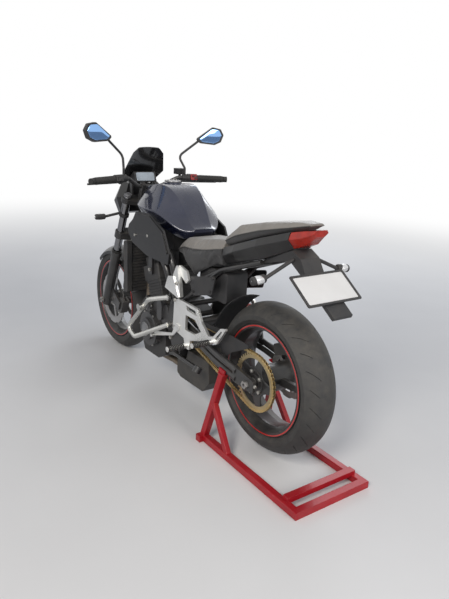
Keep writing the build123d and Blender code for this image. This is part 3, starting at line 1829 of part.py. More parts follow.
# Front fender: a crowned hoop round the tyre, with a tab to each slider
fender_gap = 8.0
fender_wall = 4.0
fender_half = 70.0
fender_front = 46.0
fender_rear = 158.0
fender_crown = front_tyre_radius + fender_gap
fender_edge = 262.0
with BuildPart() as front_fender:
    start_plane = Plane(
        origin=(front_axle_x, 0, front_axle_z),
        x_dir=(0, 1, 0),
        z_dir=(math.sin(math.radians(fender_front)), 0, -math.cos(math.radians(fender_front))),
    )
    with BuildSketch(start_plane) as hoop:
        with BuildLine():
            outer = ThreePointArc(
                (-fender_half, fender_crown - 28.0),
                (0, fender_crown + fender_wall),
                (fender_half, fender_crown - 28.0),
            )
            inner = ThreePointArc(
                (fender_wall - fender_half, fender_crown - 30.0),
                (0, fender_crown),
                (fender_half - fender_wall, fender_crown - 30.0),
            )
            Polyline(outer @ 0, (-fender_half, fender_edge), (fender_wall - fender_half, fender_edge), inner @ 0)
            Polyline(outer @ 1, (fender_half, fender_edge), (fender_half - fender_wall, fender_edge), inner @ 1)
        make_face()
    revolve(
        axis=Axis((front_axle_x, 0, front_axle_z), (0, -1, 0)),
        revolution_arc=fender_rear - fender_front,
    )
    with Locations(steering_plane(fender_edge + 14.0, fork_offset, 0)):
        for side in (-1, 1):
            with Locations((0, side * (fender_half - 2.0 + fork_inner - seat_gap) / 2, 0)):
                Box(36.0, fork_inner - seat_gap - fender_half + 2.0, 26.0)
write(front_fender.part, "front_fender")

# Side stand: a leg with a foot, hung on the slanted bolt beside its lug
stand_reach = 236.0
stand_leg_radius = 9.5
eye_start = Vector(*at_body(*stand_hinge)) + stand_axis * (seat_gap + hinge_width) / -2
eye_end = eye_start - stand_axis * hinge_width
eye_middle = (eye_start + eye_end) / 2
foot_middle = eye_middle - Vector(stand_reach, 0, 0)
with BuildPart() as side_stand:
    add(rod(eye_start, eye_end, hinge_radius))
    add(rod(hinge_end + stand_axis * 8.0, eye_start, hinge_bolt_radius))
    add(rod(eye_middle, foot_middle, stand_leg_radius))
    add(rod(foot_middle + Vector(6.0, 9.0, -14.0), foot_middle + Vector(6.0, -6.0, 10.0), 20.0))
write(side_stand.part, "side_stand")

# Paddock stand: square tubes under the swingarm, open at the front for the wheel
stand_tube = 30.0
stand_half = 174.0
stand_front = 229.0
stand_saddle_back = 389.0
saddle_width = 40.0
saddle_floor = 6.0


def at_stand(back, y, z):
    """A point ahead of the rear axle and up from the ground."""
    return (rear_axle_x + back, y, z)


def square_bar(start, end, width, depth):
    """A square tube between two points, its flats facing across the stand."""
    run = Vector(*end) - Vector(*start)
    with BuildPart() as bar:
        with BuildSketch(Plane(origin=start, x_dir=(0, 1, 0), z_dir=run)):
            RectangleRounded(width, depth, 3.0)
        extrude(amount=run.length)
    return bar.part


saddle_plane = Plane(
    origin=on_arm(stand_saddle_back, swingarm_half_width, -swingarm_tube_pitch / 2 - swingarm_tube_radius - seat_gap),
    x_dir=(1, 0, arm_slope),
    z_dir=(-arm_slope, 0, 1),
)
saddle_foot = saddle_plane.from_local_coords(Vector(0, 12.0, -saddle_floor))
with BuildPart() as paddock_stand:
    add(
        square_bar(
            at_stand(-stand_overhang, stand_half, stand_tube / 2),
            at_stand(stand_front + 15.0, stand_half, stand_tube / 2),
            stand_tube,
            stand_tube,
        )
    )
    add(
        square_bar(
            at_stand(stand_front, stand_half, stand_tube / 2),
            tuple(saddle_foot),
            stand_tube,
            stand_tube,
        )
    )
    add(
        square_bar(
            at_stand(45.0, stand_half, stand_tube / 2),
            at_stand(176.0, 163.0, 196.0),
            24.0,
            24.0,
        )
    )
    with Locations(Location(at_stand(stand_front, stand_half + 16.0, stand_tube / 2))):
        Box(stand_tube, 34.0, stand_tube)
    with BuildSketch(saddle_plane):
        with Locations((0, 4.0)):
            Rectangle(saddle_width, 46.0)
    extrude(amount=-saddle_floor)
    with BuildSketch(saddle_plane.offset(-saddle_floor)):
        with Locations((0, swingarm_tube_radius + 1.0 + 4.0)):
            Rectangle(saddle_width, 7.0)
    extrude(amount=26.0)
    mirror(about=Plane.XZ)
    for back, height, depth in ((15.0, stand_tube / 2, stand_tube), (75.0, 38.0, 22.0)):
        with Locations(Location(at_stand(back - stand_overhang, 0, height))):
            Box(stand_tube, 2 * stand_half, depth)
write(paddock_stand.part, "paddock_stand")
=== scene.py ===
import math
import bpy
from mathutils import Matrix, Vector


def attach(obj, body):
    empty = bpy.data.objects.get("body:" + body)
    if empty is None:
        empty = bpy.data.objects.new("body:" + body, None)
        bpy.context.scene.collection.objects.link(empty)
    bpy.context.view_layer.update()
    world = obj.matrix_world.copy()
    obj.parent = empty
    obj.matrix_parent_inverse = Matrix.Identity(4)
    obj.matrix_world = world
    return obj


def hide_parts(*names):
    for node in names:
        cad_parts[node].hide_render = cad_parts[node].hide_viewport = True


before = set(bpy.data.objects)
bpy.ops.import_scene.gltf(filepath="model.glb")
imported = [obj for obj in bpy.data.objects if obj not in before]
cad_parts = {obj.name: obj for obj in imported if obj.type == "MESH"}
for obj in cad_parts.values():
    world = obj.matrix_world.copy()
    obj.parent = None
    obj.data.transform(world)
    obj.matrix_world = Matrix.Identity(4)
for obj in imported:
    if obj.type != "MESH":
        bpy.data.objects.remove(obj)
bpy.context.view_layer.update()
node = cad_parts

scene = bpy.context.scene
SIDES = ((1, "left"), (-1, "right"))
UP, BACK, LEFT, RIGHT = (0, 0, 1), (-1, 0, 0), (0, 1, 0), (0, -1, 0)
COLOUR, NUMBER = "NodeSocketColor", "NodeSocketFloat"


def set_inputs(item, values):
    for title, value in values.items():
        item.inputs[title].default_value = value


def grow(tree, kind, values=None, **settings):
    """A new shader node, with its settings and then the values of its inputs."""
    item = tree.nodes.new("ShaderNode" + kind)
    for title, value in settings.items():
        setattr(item, title, value)
    set_inputs(item, values or {})
    return item


def grow_ramp(tree, low, high, start=0.0, end=1.0):
    """A colour ramp from one tone to another."""
    ramp = grow(tree, "ValToRGB")
    for stop, tone, position in zip(ramp.color_ramp.elements, (low, high), (start, end)):
        stop.position = position
        stop.color = (*tone, 1)
    return ramp


def wire(tree, *runs):
    """Link an output of one node with an input of another, for each run."""
    for source, leaving, target, entering in runs:
        tree.links.new(source.outputs[leaving], target.inputs[entering])


# The floor under the machine: a plain pale concrete slab, cast flat and swept clean, that
# only catches the shadow. Far from the machine it fades to the white of the backdrop.
bpy.ops.object.select_all(action="DESELECT")
bpy.ops.mesh.primitive_plane_add(size=60, location=(0, 0, -0.0005))
floor = bpy.context.object
floor.name = "studio_floor"
slab = bpy.data.materials.new("pale_slab")
slab.use_nodes = True
tree = slab.node_tree
ground = tree.nodes["Principled BSDF"]
set_inputs(ground, {"Roughness": 0.9, "Specular IOR Level": 0.2})
place = grow(tree, "TexCoord")
cloud = grow(tree, "TexNoise", {"Scale": 1.4, "Detail": 5})
tint = grow_ramp(tree, (0.66, 0.66, 0.66), (0.76, 0.76, 0.755))
reach = grow(tree, "VectorMath", operation="LENGTH")
far = grow(tree, "MapRange", {"From Min": 1.6, "From Max": 7.5}, interpolation_type="SMOOTHSTEP")
paper = grow(tree, "Emission", {"Strength": 1.0})
ray = grow(tree, "LightPath")
seen = grow(tree, "Math", operation="MULTIPLY")
join = grow(tree, "MixShader")
wire(tree, (place, "Object", cloud, "Vector"), (cloud, "Fac", tint, "Fac"),
     (tint, "Color", ground, "Base Color"), (place, "Object", reach, 0),
     (reach, "Value", far, "Value"), (far, 0, seen, 0), (ray, "Is Camera Ray", seen, 1),
     (seen, 0, join, "Fac"), (ground, 0, join, 1), (paper, 0, join, 2),
     (join, 0, tree.nodes["Material Output"], "Surface"))
floor.data.materials.append(slab)

# A white backdrop all round, that lights the shaded side with a weaker, cooler sky
backdrop = bpy.data.worlds.new("white_backdrop")
scene.world = backdrop
backdrop.use_nodes = True
tree = backdrop.node_tree
sky = tree.nodes["Background"]
set_inputs(sky, {"Color": (0.86, 0.9, 1.0, 1), "Strength": 0.42})
paper = grow(tree, "Background", {"Color": (1, 1, 1, 1), "Strength": 1.0})
ray = grow(tree, "LightPath")
seen = grow(tree, "Math", operation="MAXIMUM")
through = grow(tree, "Math", operation="MAXIMUM")
choice = grow(tree, "MixShader")
wire(tree, (ray, "Is Camera Ray", seen, 0), (ray, "Is Glossy Ray", seen, 1),
     (seen, 0, through, 0), (ray, "Is Transmission Ray", through, 1),
     (through, 0, choice, "Fac"), (sky, 0, choice, 1), (paper, 0, choice, 2),
     (choice, 0, tree.nodes["World Output"], "Surface"))


def hang_lamp(name, place, aim, size, watts, colour):
    data = bpy.data.lights.new(name, "AREA")
    data.shape = "DISK"
    data.size = size
    data.energy = watts
    data.color = colour
    lamp = bpy.data.objects.new(name, data)
    scene.collection.objects.link(lamp)
    lamp.location = place
    lamp.rotation_euler = (Vector(aim) - Vector(place)).to_track_quat("-Z", "Y").to_euler()


hang_lamp("left_softbox", (-2.6, 3.6, 3.4), (-0.1, 0, 0.5), 1.6, 132, (1.0, 0.95, 0.88))
hang_lamp("rear_softbox", (-4.2, -0.6, 2.2), (-0.2, 0, 0.6), 1.8, 50, (1.0, 0.97, 0.93))
hang_lamp("right_fill", (2.6, -3.2, 2.6), (0, 0, 0.6), 2.4, 45, (0.9, 0.94, 1.0))

# The camera stands behind the machine and to its left, a little above the seat, turned
# slightly about its own axis as the picture was held.
FOCAL_PIXELS, PICTURE_PIXELS, SENSOR = 568.206, 599.0, 36.0
eye = Vector((-2.25038, 1.408037, 1.333224))
yaw, pitch, roll = (math.radians(angle) for angle in (-35.659, -17.3655, 3.0399))
look = Vector((math.cos(pitch) * math.cos(yaw), math.cos(pitch) * math.sin(yaw), math.sin(pitch)))
side = look.cross(Vector(UP)).normalized()
head = side.cross(look)
camera = bpy.data.objects.new("camera", bpy.data.cameras.new("camera"))
scene.collection.objects.link(camera)
right = side * math.cos(roll) + head * math.sin(roll)
top = head * math.cos(roll) - side * math.sin(roll)
camera.matrix_world = Matrix.Translation(eye) @ Matrix((right, top, -look)).transposed().to_4x4()
camera.data.lens = FOCAL_PIXELS * SENSOR / PICTURE_PIXELS
camera.data.sensor_width = SENSOR
camera.data.clip_start = 0.05
scene.camera = camera
scene.view_settings.view_transform = "Standard"


def shader_group(name, inputs, outputs):
    """An empty node group with its named inputs and outputs."""
    group = bpy.data.node_groups.new(name, "ShaderNodeTree")
    for title, kind, value in inputs:
        socket = group.interface.new_socket(name=title, in_out="INPUT", socket_type=kind)
        socket.default_value = value
    for title, kind in outputs:
        group.interface.new_socket(name=title, in_out="OUTPUT", socket_type=kind)
    return group, group.nodes.new("NodeGroupInput"), group.nodes.new("NodeGroupOutput")


# Dust that settles on what faces upwards, in uneven patches
dust_group, come, go = shader_group(
    "settled_dust",
    [("Colour", COLOUR, (0.1, 0.1, 0.1, 1)), ("Dust", COLOUR, (0.36, 0.32, 0.26, 1)),
     ("Amount", NUMBER, 0.2), ("Scale", NUMBER, 12.0)],
    [("Colour", COLOUR), ("Cover", NUMBER)])
spot = grow(dust_group, "TexCoord")
patch = grow(dust_group, "TexNoise", {"Detail": 6, "Roughness": 0.65})
facing = grow(dust_group, "NewGeometry")
split = grow(dust_group, "SeparateXYZ")
lying = grow(dust_group, "MapRange", {"From Min": -0.2, "From Max": 1.0, "To Min": 0.25})
spread = grow(dust_group, "MapRange", {"From Min": 0.35, "From Max": 0.75})
both = grow(dust_group, "Math", operation="MULTIPLY")
scaled = grow(dust_group, "Math", operation="MULTIPLY")
powder = grow(dust_group, "Mix", data_type="RGBA")
wire(dust_group, (spot, "Object", patch, "Vector"), (come, "Scale", patch, "Scale"),
     (patch, "Fac", spread, "Value"), (facing, "Normal", split, 0), (split, "Z", lying, "Value"),
     (spread, 0, both, 0), (lying, 0, both, 1), (both, 0, scaled, 0), (come, "Amount", scaled, 1),
     (scaled, 0, powder, "Factor"), (come, "Colour", powder, "A"), (come, "Dust", powder, "B"),
     (powder, "Result", go, "Colour"), (scaled, 0, go, "Cover"))

# Paint or skin rubbed thin along the edges of a pressing or casting
wear_group, come, go = shader_group(
    "rubbed_edges", [("Amount", NUMBER, 0.5), ("Scale", NUMBER, 60.0)], [("Mask", NUMBER)])
spot = grow(wear_group, "TexCoord")
chips = grow(wear_group, "TexNoise", {"Detail": 5})
softened = grow(wear_group, "Bevel", {"Radius": 0.0016}, samples=4)
plain = grow(wear_group, "NewGeometry")
turn = grow(wear_group, "VectorMath", operation="DOT_PRODUCT")
edge = grow(wear_group, "MapRange", {"From Min": 0.99, "From Max": 0.8})
broken = grow(wear_group, "MapRange", {"From Min": 0.42, "From Max": 0.6})
both = grow(wear_group, "Math", operation="MULTIPLY")
scaled = grow(wear_group, "Math", operation="MULTIPLY")
wire(wear_group, (spot, "Object", chips, "Vector"), (come, "Scale", chips, "Scale"),
     (softened, 0, turn, 0), (plain, "Normal", turn, 1), (turn, "Value", edge, "Value"),
     (chips, "Fac", broken, "Value"), (edge, 0, both, 0), (broken, 0, both, 1),
     (both, 0, scaled, 0), (come, "Amount", scaled, 1), (scaled, 0, go, "Mask"))


def mix_finish(name, colour, roughness, metallic=0.0, coat=0.0, shade=0.12, blotch=9.0,
               grain=700.0, depth=0.00004, dust=0.12, wear=0.0, bare=(0.3, 0.3, 0.3),
               stretch=(1, 1, 1), specks=16.0, specular=0.5):
    """A painted, moulded or cast finish: tone and gloss that vary, a grain, dust and rubbed
    edges. A stretch draws the grain out along one way, as brushing does."""
    material = bpy.data.materials.new(name)
    material.use_nodes = True
    tree = material.node_tree
    skin = tree.nodes["Principled BSDF"]
    set_inputs(skin, {"Metallic": metallic, "Coat Weight": coat, "Coat Roughness": 0.06,
                      "Specular IOR Level": specular})
    spot = grow(tree, "TexCoord")
    cloud = grow(tree, "TexNoise", {"Scale": blotch, "Detail": 5})
    tone = grow_ramp(tree, [c * (1 - shade) for c in colour],
                     [min(1, c * (1 + shade) + 0.002) for c in colour], 0.3, 0.7)
    wire(tree, (spot, "Object", cloud, "Vector"), (cloud, "Fac", tone, "Fac"))
    last = tone, "Color"
    if wear:
        rub = grow(tree, "Group", {"Amount": wear}, node_tree=wear_group)
        chipped = grow(tree, "Mix", {"B": (*bare, 1)}, data_type="RGBA")
        wire(tree, (rub, "Mask", chipped, "Factor"), (*last, chipped, "A"))
        last = chipped, "Result"
    powder = grow(tree, "Group", {"Amount": dust, "Scale": specks}, node_tree=dust_group)
    gloss = grow(tree, "MapRange",
                 {"To Min": max(0.02, roughness * 0.8), "To Max": min(1.0, roughness * 1.2)})
    dulled = grow(tree, "Math", use_clamp=True)
    fine = grow(tree, "TexNoise", {"Scale": grain, "Detail": 3})
    drawn = grow(tree, "Mapping", {"Scale": stretch})
    softened = grow(tree, "Bevel", {"Radius": 0.0014}, samples=4)
    bump = grow(tree, "Bump", {"Distance": depth})
    wire(tree, (*last, powder, "Colour"), (powder, "Colour", skin, "Base Color"),
         (cloud, "Fac", gloss, "Value"), (gloss, 0, dulled, 0), (powder, "Cover", dulled, 1),
         (dulled, 0, skin, "Roughness"), (spot, "Object", drawn, "Vector"),
         (drawn, 0, fine, "Vector"), (fine, "Fac", bump, "Height"), (softened, 0, bump, "Normal"),
         (bump, 0, skin, "Normal"))
    return material


def dress(material, *names):
    """Give solids from the frame file a finish."""
    for name in names:
        if not node[name].material_slots:
            node[name].data.materials.append(None)
        for holder in node[name].material_slots:
            holder.material = material


def set_mode(mode):
    bpy.ops.object.mode_set(mode=mode)


def clear_selection():
    if bpy.context.object and bpy.context.object.mode != "OBJECT":
        set_mode("OBJECT")
    bpy.ops.object.select_all(action="DESELECT")


def take(*pieces):
    """Select pieces and nothing else, the first of them active."""
    clear_selection()
    for piece in pieces:
        piece.select_set(True)
    bpy.context.view_layer.objects.active = pieces[0]


def edit_all():
    """Open the active piece for editing, with all of it selected."""
    set_mode("EDIT")
    bpy.ops.mesh.select_all(action="SELECT")


def face_out():
    """Turn every face of the piece being edited outwards, and close it."""
    bpy.ops.mesh.select_all(action="SELECT")
    bpy.ops.mesh.normals_make_consistent(inside=False)
    set_mode("OBJECT")


def draw_out(y=0, z=0):
    """Extrude the selected faces."""
    bpy.ops.mesh.extrude_region_move(TRANSFORM_OT_translate={"value": (0, y, z)})


def inset(width):
    bpy.ops.mesh.inset(thickness=width)


def lift(height):
    bpy.ops.transform.translate(value=(0, 0, height))


def scale_by(x=1, y=1, z=1):
    """Scale what is selected about the origin."""
    bpy.ops.transform.resize(value=(x, y, z), center_override=(0, 0, 0))


def pick(piece, test):
    """Select the faces of a piece that pass a test on centre and normal, ready to edit."""
    set_mode("OBJECT")
    for group in (piece.data.vertices, piece.data.edges, piece.data.polygons):
        for item in group:
            item.select = False
    for face in piece.data.polygons:
        face.select = test(face.center, face.normal)
    set_mode("EDIT")
    bpy.ops.mesh.select_mode(type="FACE")


def apply_modifier(piece, kind, **settings):
    """Put a modifier on the active piece and apply it."""
    modifier = piece.modifiers.new(kind.lower(), kind)
    for title, value in settings.items():
        setattr(modifier, title, value)
    bpy.ops.object.modifier_apply(modifier=modifier.name)


def settle(piece, name, body, material, smooth=35, stands_for=()):
    """Bring a modelled piece to the origin, name and finish it, and hang it on its body."""
    take(piece)
    bpy.ops.object.transform_apply(location=True, rotation=True, scale=True)
    bpy.ops.object.shade_smooth_by_angle(angle=math.radians(smooth))
    piece.name = name
    piece.data.name = name
    piece.data.materials.clear()
    piece.data.materials.append(material)
    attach(piece, body)
    if stands_for:
        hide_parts(*stands_for)
    return piece


def copy_and_join(model, spots):
    """Copy a modelled piece to each matrix, each copy with its own mesh, and join them."""
    copies = []
    for spot in spots:
        twin = model.copy()
        twin.data = model.data.copy()
        scene.collection.objects.link(twin)
        twin.data.transform(spot)
        copies.append(twin)
    bpy.data.objects.remove(model)
    take(*copies)
    bpy.ops.object.join()
    return bpy.context.object


def aimed(place, way, size=1.0, length=1.0):
    """A matrix that stands a piece modelled along Z on a place, pointing a way."""
    turn = Vector(way).to_track_quat("Z", "Y").to_matrix().to_4x4()
    return Matrix.Translation(Vector(place)) @ turn @ Matrix.Diagonal((size, size, length, 1))


def laid(place, across, up):
    """A matrix that lays a piece modelled flat on a place, by its ways across and up."""
    across, up = Vector(across).normalized(), Vector(up).normalized()
    axes = Matrix((across, up, across.cross(up))).transposed().to_4x4()
    return Matrix.Translation(Vector(place)) @ axes


def round_bar(sides, radius, height):
    """A closed bar that stands on the origin, along Z."""
    clear_selection()
    bpy.ops.mesh.primitive_cylinder_add(vertices=sides, radius=radius, depth=height,
                                        location=(0, 0, height / 2))
    bpy.ops.object.transform_apply(location=True)
    return bpy.context.object


def flat_loop(points, fill):
    """One flat loop of points, filled or open."""
    clear_selection()
    bpy.ops.mesh.primitive_circle_add(vertices=len(points), radius=1, fill_type=fill)
    loop = bpy.context.object
    for corner, point in zip(loop.data.vertices, points):
        corner.co = (*point, 0)
    return loop


def facing_up(centre, normal):
    return normal.z > 0.9


def on_both_sides(*spots):
    """Screw places, each (x, y, z, radius), on the left side and again on the right."""
    return [((x, s * y, z), (0, s, 0), r) for s, _ in SIDES for x, y, z, r in spots]


# Frame: welded round steel tube with pressed pivot plates, sprayed gloss black, bolted
# round the engine. The paint has a fine orange peel, dust on top and rubbed edges.
frame_paint = mix_finish("frame_paint", (0.015, 0.015, 0.016), 0.3, coat=0.25, wear=0.35,
                         dust=0.07)
dress(frame_paint, "frame", "side_stand")
zinc = mix_finish("zinc_plate", (0.5, 0.49, 0.46), 0.32, metallic=0.9, dust=0.2, grain=1200)


def socket_screws(name, body, spots, material=zinc):
    """Cap screws with a hexagon socket, each (place, way out, head radius)."""
    screw = round_bar(18, 1.0, 1.0)
    pick(screw, facing_up)
    bpy.ops.mesh.bevel(offset=0.14, segments=2, affect="EDGES")
    pick(screw, lambda centre, normal: normal.z > 0.99 and centre.z > 0.99)
    inset(0.36)
    draw_out(z=-0.6)
    set_mode("OBJECT")
    joined = copy_and_join(screw, [aimed(p, w, r, r * 0.9) for p, w, r in spots])
    return settle(joined, name, body, material, smooth=30)


def hex_nuts(name, body, spots):
    """Flanged hexagon nuts and bolt heads, each (place, way out, radius)."""
    nut = round_bar(6, 1.0, 0.9)
    pick(nut, facing_up)
    inset(0.12)
    lift(0.1)
    inset(0.3)
    draw_out(z=0.16)
    pick(nut, lambda centre, normal: normal.z < -0.9)
    draw_out(z=-0.06)
    set_mode("OBJECT")
    joined = copy_and_join(nut, [aimed(p, w, r, r) for p, w, r in spots])
    return settle(joined, name, body, zinc, smooth=20)


hex_nuts("frame_bolts", "chassis", on_both_sides(
    (0.172, 0.1296, 0.62, 0.009), (0.172, 0.1296, 0.70, 0.009), (-0.12, 0.1362, 0.421, 0.019),
    (-0.062, 0.1362, 0.345, 0.010), (-0.115, 0.1362, 0.50, 0.008)))

# Engine: a parallel twin of cast aluminium, sprayed satin black, with finned cylinders, a
# bolted head and rocker cover, and side covers held by cap screws. Bolted in the frame.
cast_black = mix_finish("cast_black", (0.03, 0.03, 0.031), 0.48, grain=420, depth=0.00018,
                        wear=0.5, bare=(0.2, 0.2, 0.2), dust=0.15, specular=0.35)
cover_paint = mix_finish("cover_paint", (0.05, 0.05, 0.052), 0.4, coat=0.2, grain=520,
                         depth=0.0001, wear=0.5, bare=(0.4, 0.4, 0.4), dust=0.12, specular=0.4)
dress(cast_black, "engine")
dress(cover_paint, "engine_covers")
cover_screws = []
for x, z, s, ring_radius, out in (
        (0.157, 0.318, 1, 0.087, 0.1413), (0.123, 0.335, -1, 0.097, 0.1433),
        (0.223, 0.25, -1, 0.039, 0.1373), (0.195, 0.432, 1, 0.031, 0.1233)):
    for step in range(6):
        angle = math.radians(60 * step)
        place = (x + ring_radius * math.cos(angle), s * out, z + ring_radius * math.sin(angle))
        cover_screws.append((place, (0, s, 0), 0.0055))
socket_screws("cover_screws", "chassis", cover_screws)

# The turned disc in the middle of each side cover, left grey
turned_grey = mix_finish("turned_grey", (0.3, 0.3, 0.31), 0.35, metallic=0.7, grain=300, dust=0.15)


def turned_cap(name, body, material, place, way, radius, height):
    """A turned round cap: a rolled edge, a step down and a low crown in the middle."""
    cap = round_bar(48, radius, height)
    pick(cap, facing_up)
    inset(radius * 0.08)
    draw_out(z=-height * 0.35)
    inset(radius * 0.3)
    draw_out(z=height * 0.25)
    inset(radius * 0.12)
    lift(height * 0.12)
    set_mode("OBJECT")
    apply_modifier(cap, "BEVEL", width=min(0.0012, height * 0.12), segments=2)
    cap.data.transform(aimed(place, way))
    return settle(cap, name, body, material)


turned_cap("generator_cap", "chassis", turned_grey, (0.157, 0.1594, 0.318), LEFT,
           0.036, 0.006)
turned_cap("clutch_cap", "chassis", turned_grey, (0.123, -0.1614, 0.335), RIGHT,
           0.04, 0.006)
turned_cap("oil_filler", "chassis", cast_black, (0.06, -0.1175, 0.43), RIGHT,
           0.019, 0.014)

# Exhaust: two stainless pipes browned by heat, and the box under the engine, sprayed with
# heat-proof black. Held to the head by two-nut flanges.
pipe_steel = mix_finish("browned_steel", (0.2, 0.16, 0.12), 0.38, metallic=0.85, shade=0.35,
                        blotch=6, grain=900, dust=0.3)
box_paint = mix_finish("heatproof_black", (0.035, 0.034, 0.033), 0.55, grain=500, depth=0.0001,
                       dust=0.35)
dress(pipe_steel, "exhaust_pipes")
dress(box_paint, "muffler")
lean = math.radians(20)
ahead = Vector((math.cos(lean), 0, -math.sin(lean)))
rise = Vector((math.sin(lean), 0, math.cos(lean)))
flange_nuts = []
for s, hand in reversed(SIDES):
    port = Vector((0.139, s * 0.048, 0.455)) + ahead * 0.0805 + rise * 0.154
    turned_cap(f"port_flange_{hand}", "chassis", pipe_steel, port, ahead,
               0.027, 0.008)
    for t in (-1, 1):
        flange_nuts.append((port + Vector((0, 0.033 * t, 0)) + ahead * 0.001, ahead, 0.006))
hex_nuts("flange_nuts", "chassis", flange_nuts)

# Radiator: an aluminium core of flat tubes and pressed fins between two side tanks, all
# black, hung from the frame by two tabs. The fins are too fine to model one by one.
core_black = mix_finish("core_black", (0.04, 0.04, 0.042), 0.5, metallic=0.5, dust=0.35, grain=260,
                        depth=0.0012, stretch=(1, 6, 0.3))
dress(core_black, "radiator")
turned_cap("radiator_cap", "chassis", zinc, (0.366, 0.12, 0.7252), UP, 0.018, 0.012)

# Airbox, side panels, rear fender, chain guard and meter case: moulded black plastic with a
# fine pebbled skin, held by press clips.
moulded = mix_finish("pebbled_plastic", (0.032, 0.032, 0.034), 0.5, grain=1500, depth=0.00012,
                     dust=0.1, specular=0.3)
dress(moulded, "airbox", "side_panels", "rear_fender", "chain_guard", "meter")
socket_screws("panel_clips", "chassis", on_both_sides(
    (-0.215, 0.1377, 0.665, 0.006), (-0.39, 0.1377, 0.715, 0.006),
    (-0.245, 0.1377, 0.622, 0.006), (-0.372, 0.1377, 0.655, 0.006)), moulded)

# Swingarm: two round steel tubes a side with a cross tube, and the axle plates let into their
# ends with the chain adjusters. Sprayed satin black.
arm_paint = mix_finish("arm_paint", (0.022, 0.022, 0.023), 0.32, coat=0.25, wear=0.5, dust=0.12)
dress(arm_paint, "swingarm", "axle_plates")
hex_nuts("adjuster_bolts", "chassis",
         [((-0.7022, s * 0.133, 0.36), BACK, 0.0075) for s, _ in SIDES])

# Wheels: cast aluminium rims with paired spokes, powder coated black, with a thin red stripe
# stuck round each flange. Both turn on the axles between spacers.
wheel_paint = mix_finish("wheel_paint", (0.018, 0.018, 0.019), 0.34, coat=0.2, dust=0.14, wear=0.2)
stripe_red = mix_finish("stripe_red", (0.5, 0.012, 0.01), 0.3, coat=0.6, shade=0.06, dust=0.1)
dress(wheel_paint, "front_rim", "rear_rim")
front_axle, rear_axle = Vector((0.750, 0, 0.300)), Vector((-0.660, 0, 0.354))


def flat_band(name, body, material, outline, inner, place, across, thickness, up=UP,
              stands_for=()):
    """A flat band inside an outline. Its inner edge is a share of the outline across and up,
    or a round hole of a radius."""
    share = isinstance(inner, tuple)
    band = flat_loop(outline, "NOTHING")
    edit_all()
    bpy.ops.mesh.extrude_edges_move()
    if share:
        scale_by(*inner)
    set_mode("OBJECT")
    if not share:
        for corner in band.data.vertices:
            if corner.select:
                corner.co = corner.co.normalized() * inner
    apply_modifier(band, "SOLIDIFY", thickness=thickness, offset=0)
    band.data.transform(laid(place, across, up))
    edit_all()
    face_out()
    return settle(band, name, body, material, stands_for=stands_for)


def ring(radius, count, tall=None):
    """Points round a circle, or round an oval that is less or more tall than wide."""
    tall = radius if tall is None else tall
    return [(radius * math.cos(2 * math.pi * i / count), tall * math.sin(2 * math.pi * i / count))
            for i in range(count)]


for name, centre, face in (("front", front_axle, 0.0543), ("rear", rear_axle, 0.0683)):
    for s, hand in SIDES:
        flat_band(f"{name}_stripe_{hand}", f"{name}_wheel", stripe_red,
                  ring(0.2255, 120), (0.977, 0.977), centre + Vector((0, s * face, 0)), (1, 0, 0),
                  0.0008)

# Tyres: radial road tyres of black rubber, the tread smooth in the middle with short slanted
# grooves at the shoulders, a rib along the bead and a dusty, scuffed face.
rubber = mix_finish("tyre_rubber", (0.032, 0.032, 0.032), 0.62, shade=0.1, blotch=14, grain=300,
                    depth=0.0003, dust=0.2, specks=24, specular=0.4)


def road_tyre(name, body, centre, radius, width, shoulder, bead_half, stands_for):
    """One closed tyre section laid out in a ring, spun round the axle and grooved."""
    half, wall, flange = width / 2, 0.009, 0.228
    around, spacing = 156, 6
    slant, lead = 1.9, 0.16
    groove_edge, groove_depth = 0.0035, 0.0045
    crown = [(half * i / 7, radius - (radius - shoulder) * (i / 7) ** 2.3) for i in range(8)]
    middle = (shoulder + flange) / 2
    section = crown + [
        (half - 0.0004, (shoulder + middle) / 2), (half - 0.001, middle),
        (bead_half + wall + 0.0062, flange + 0.0085), (bead_half + wall + 0.0062, flange + 0.0065),
        (bead_half + wall + 0.0045, flange + 0.0055), (bead_half + wall, flange + 0.002),
        (bead_half + wall, flange - 0.008), (bead_half, flange - 0.008),
        (half - wall, shoulder - wall / 2), (0, radius - wall * 1.3),
    ]
    loop = section + [(-y, r) for y, r in reversed(section[1:-1])]
    tyre = flat_loop([(r, y) for y, r in loop], "NOTHING")
    edit_all()
    bpy.ops.mesh.spin(steps=around, angle=2 * math.pi, center=(0, 0, 0), axis=LEFT)
    bpy.ops.mesh.select_all(action="SELECT")
    bpy.ops.mesh.remove_doubles(threshold=0.00005)
    face_out()
    for corner in tyre.data.vertices:
        turn = Matrix.Rotation(slant * abs(corner.co.y) / half * lead, 3, "Y")
        corner.co = turn @ corner.co

    def in_groove(centre, normal):
        share = abs(centre.y) / half
        if math.hypot(centre.x, centre.z) < shoulder or not 0.28 < share < 0.86:
            return False
        if (Vector((centre.x, 0, centre.z)).normalized()).dot(normal) < 0.2:
            return False
        angle = math.atan2(-centre.z, centre.x) - slant * share * lead
        step = round(angle / (2 * math.pi) * around - 0.5) % around
        first = 0 if centre.y > 0 else spacing // 2
        return step % spacing == first and (share > 0.43 or step % (2 * spacing) < spacing)

    pick(tyre, in_groove)
    bpy.ops.mesh.inset(thickness=groove_edge, use_even_offset=True)
    bpy.ops.mesh.extrude_region_move()
    sunk = 1 - groove_depth / radius
    scale_by(sunk, 1, sunk)
    set_mode("OBJECT")
    tyre.data.transform(Matrix.Translation(centre))
    return settle(tyre, name, body, rubber, smooth=40, stands_for=(stands_for,))


road_tyre("front_road_tyre", "front_wheel", front_axle, 0.300, 0.120, 0.266, 0.038, "front_tyre")
road_tyre("rear_road_tyre", "rear_wheel", rear_axle, 0.312, 0.160, 0.266, 0.052, "rear_tyre")

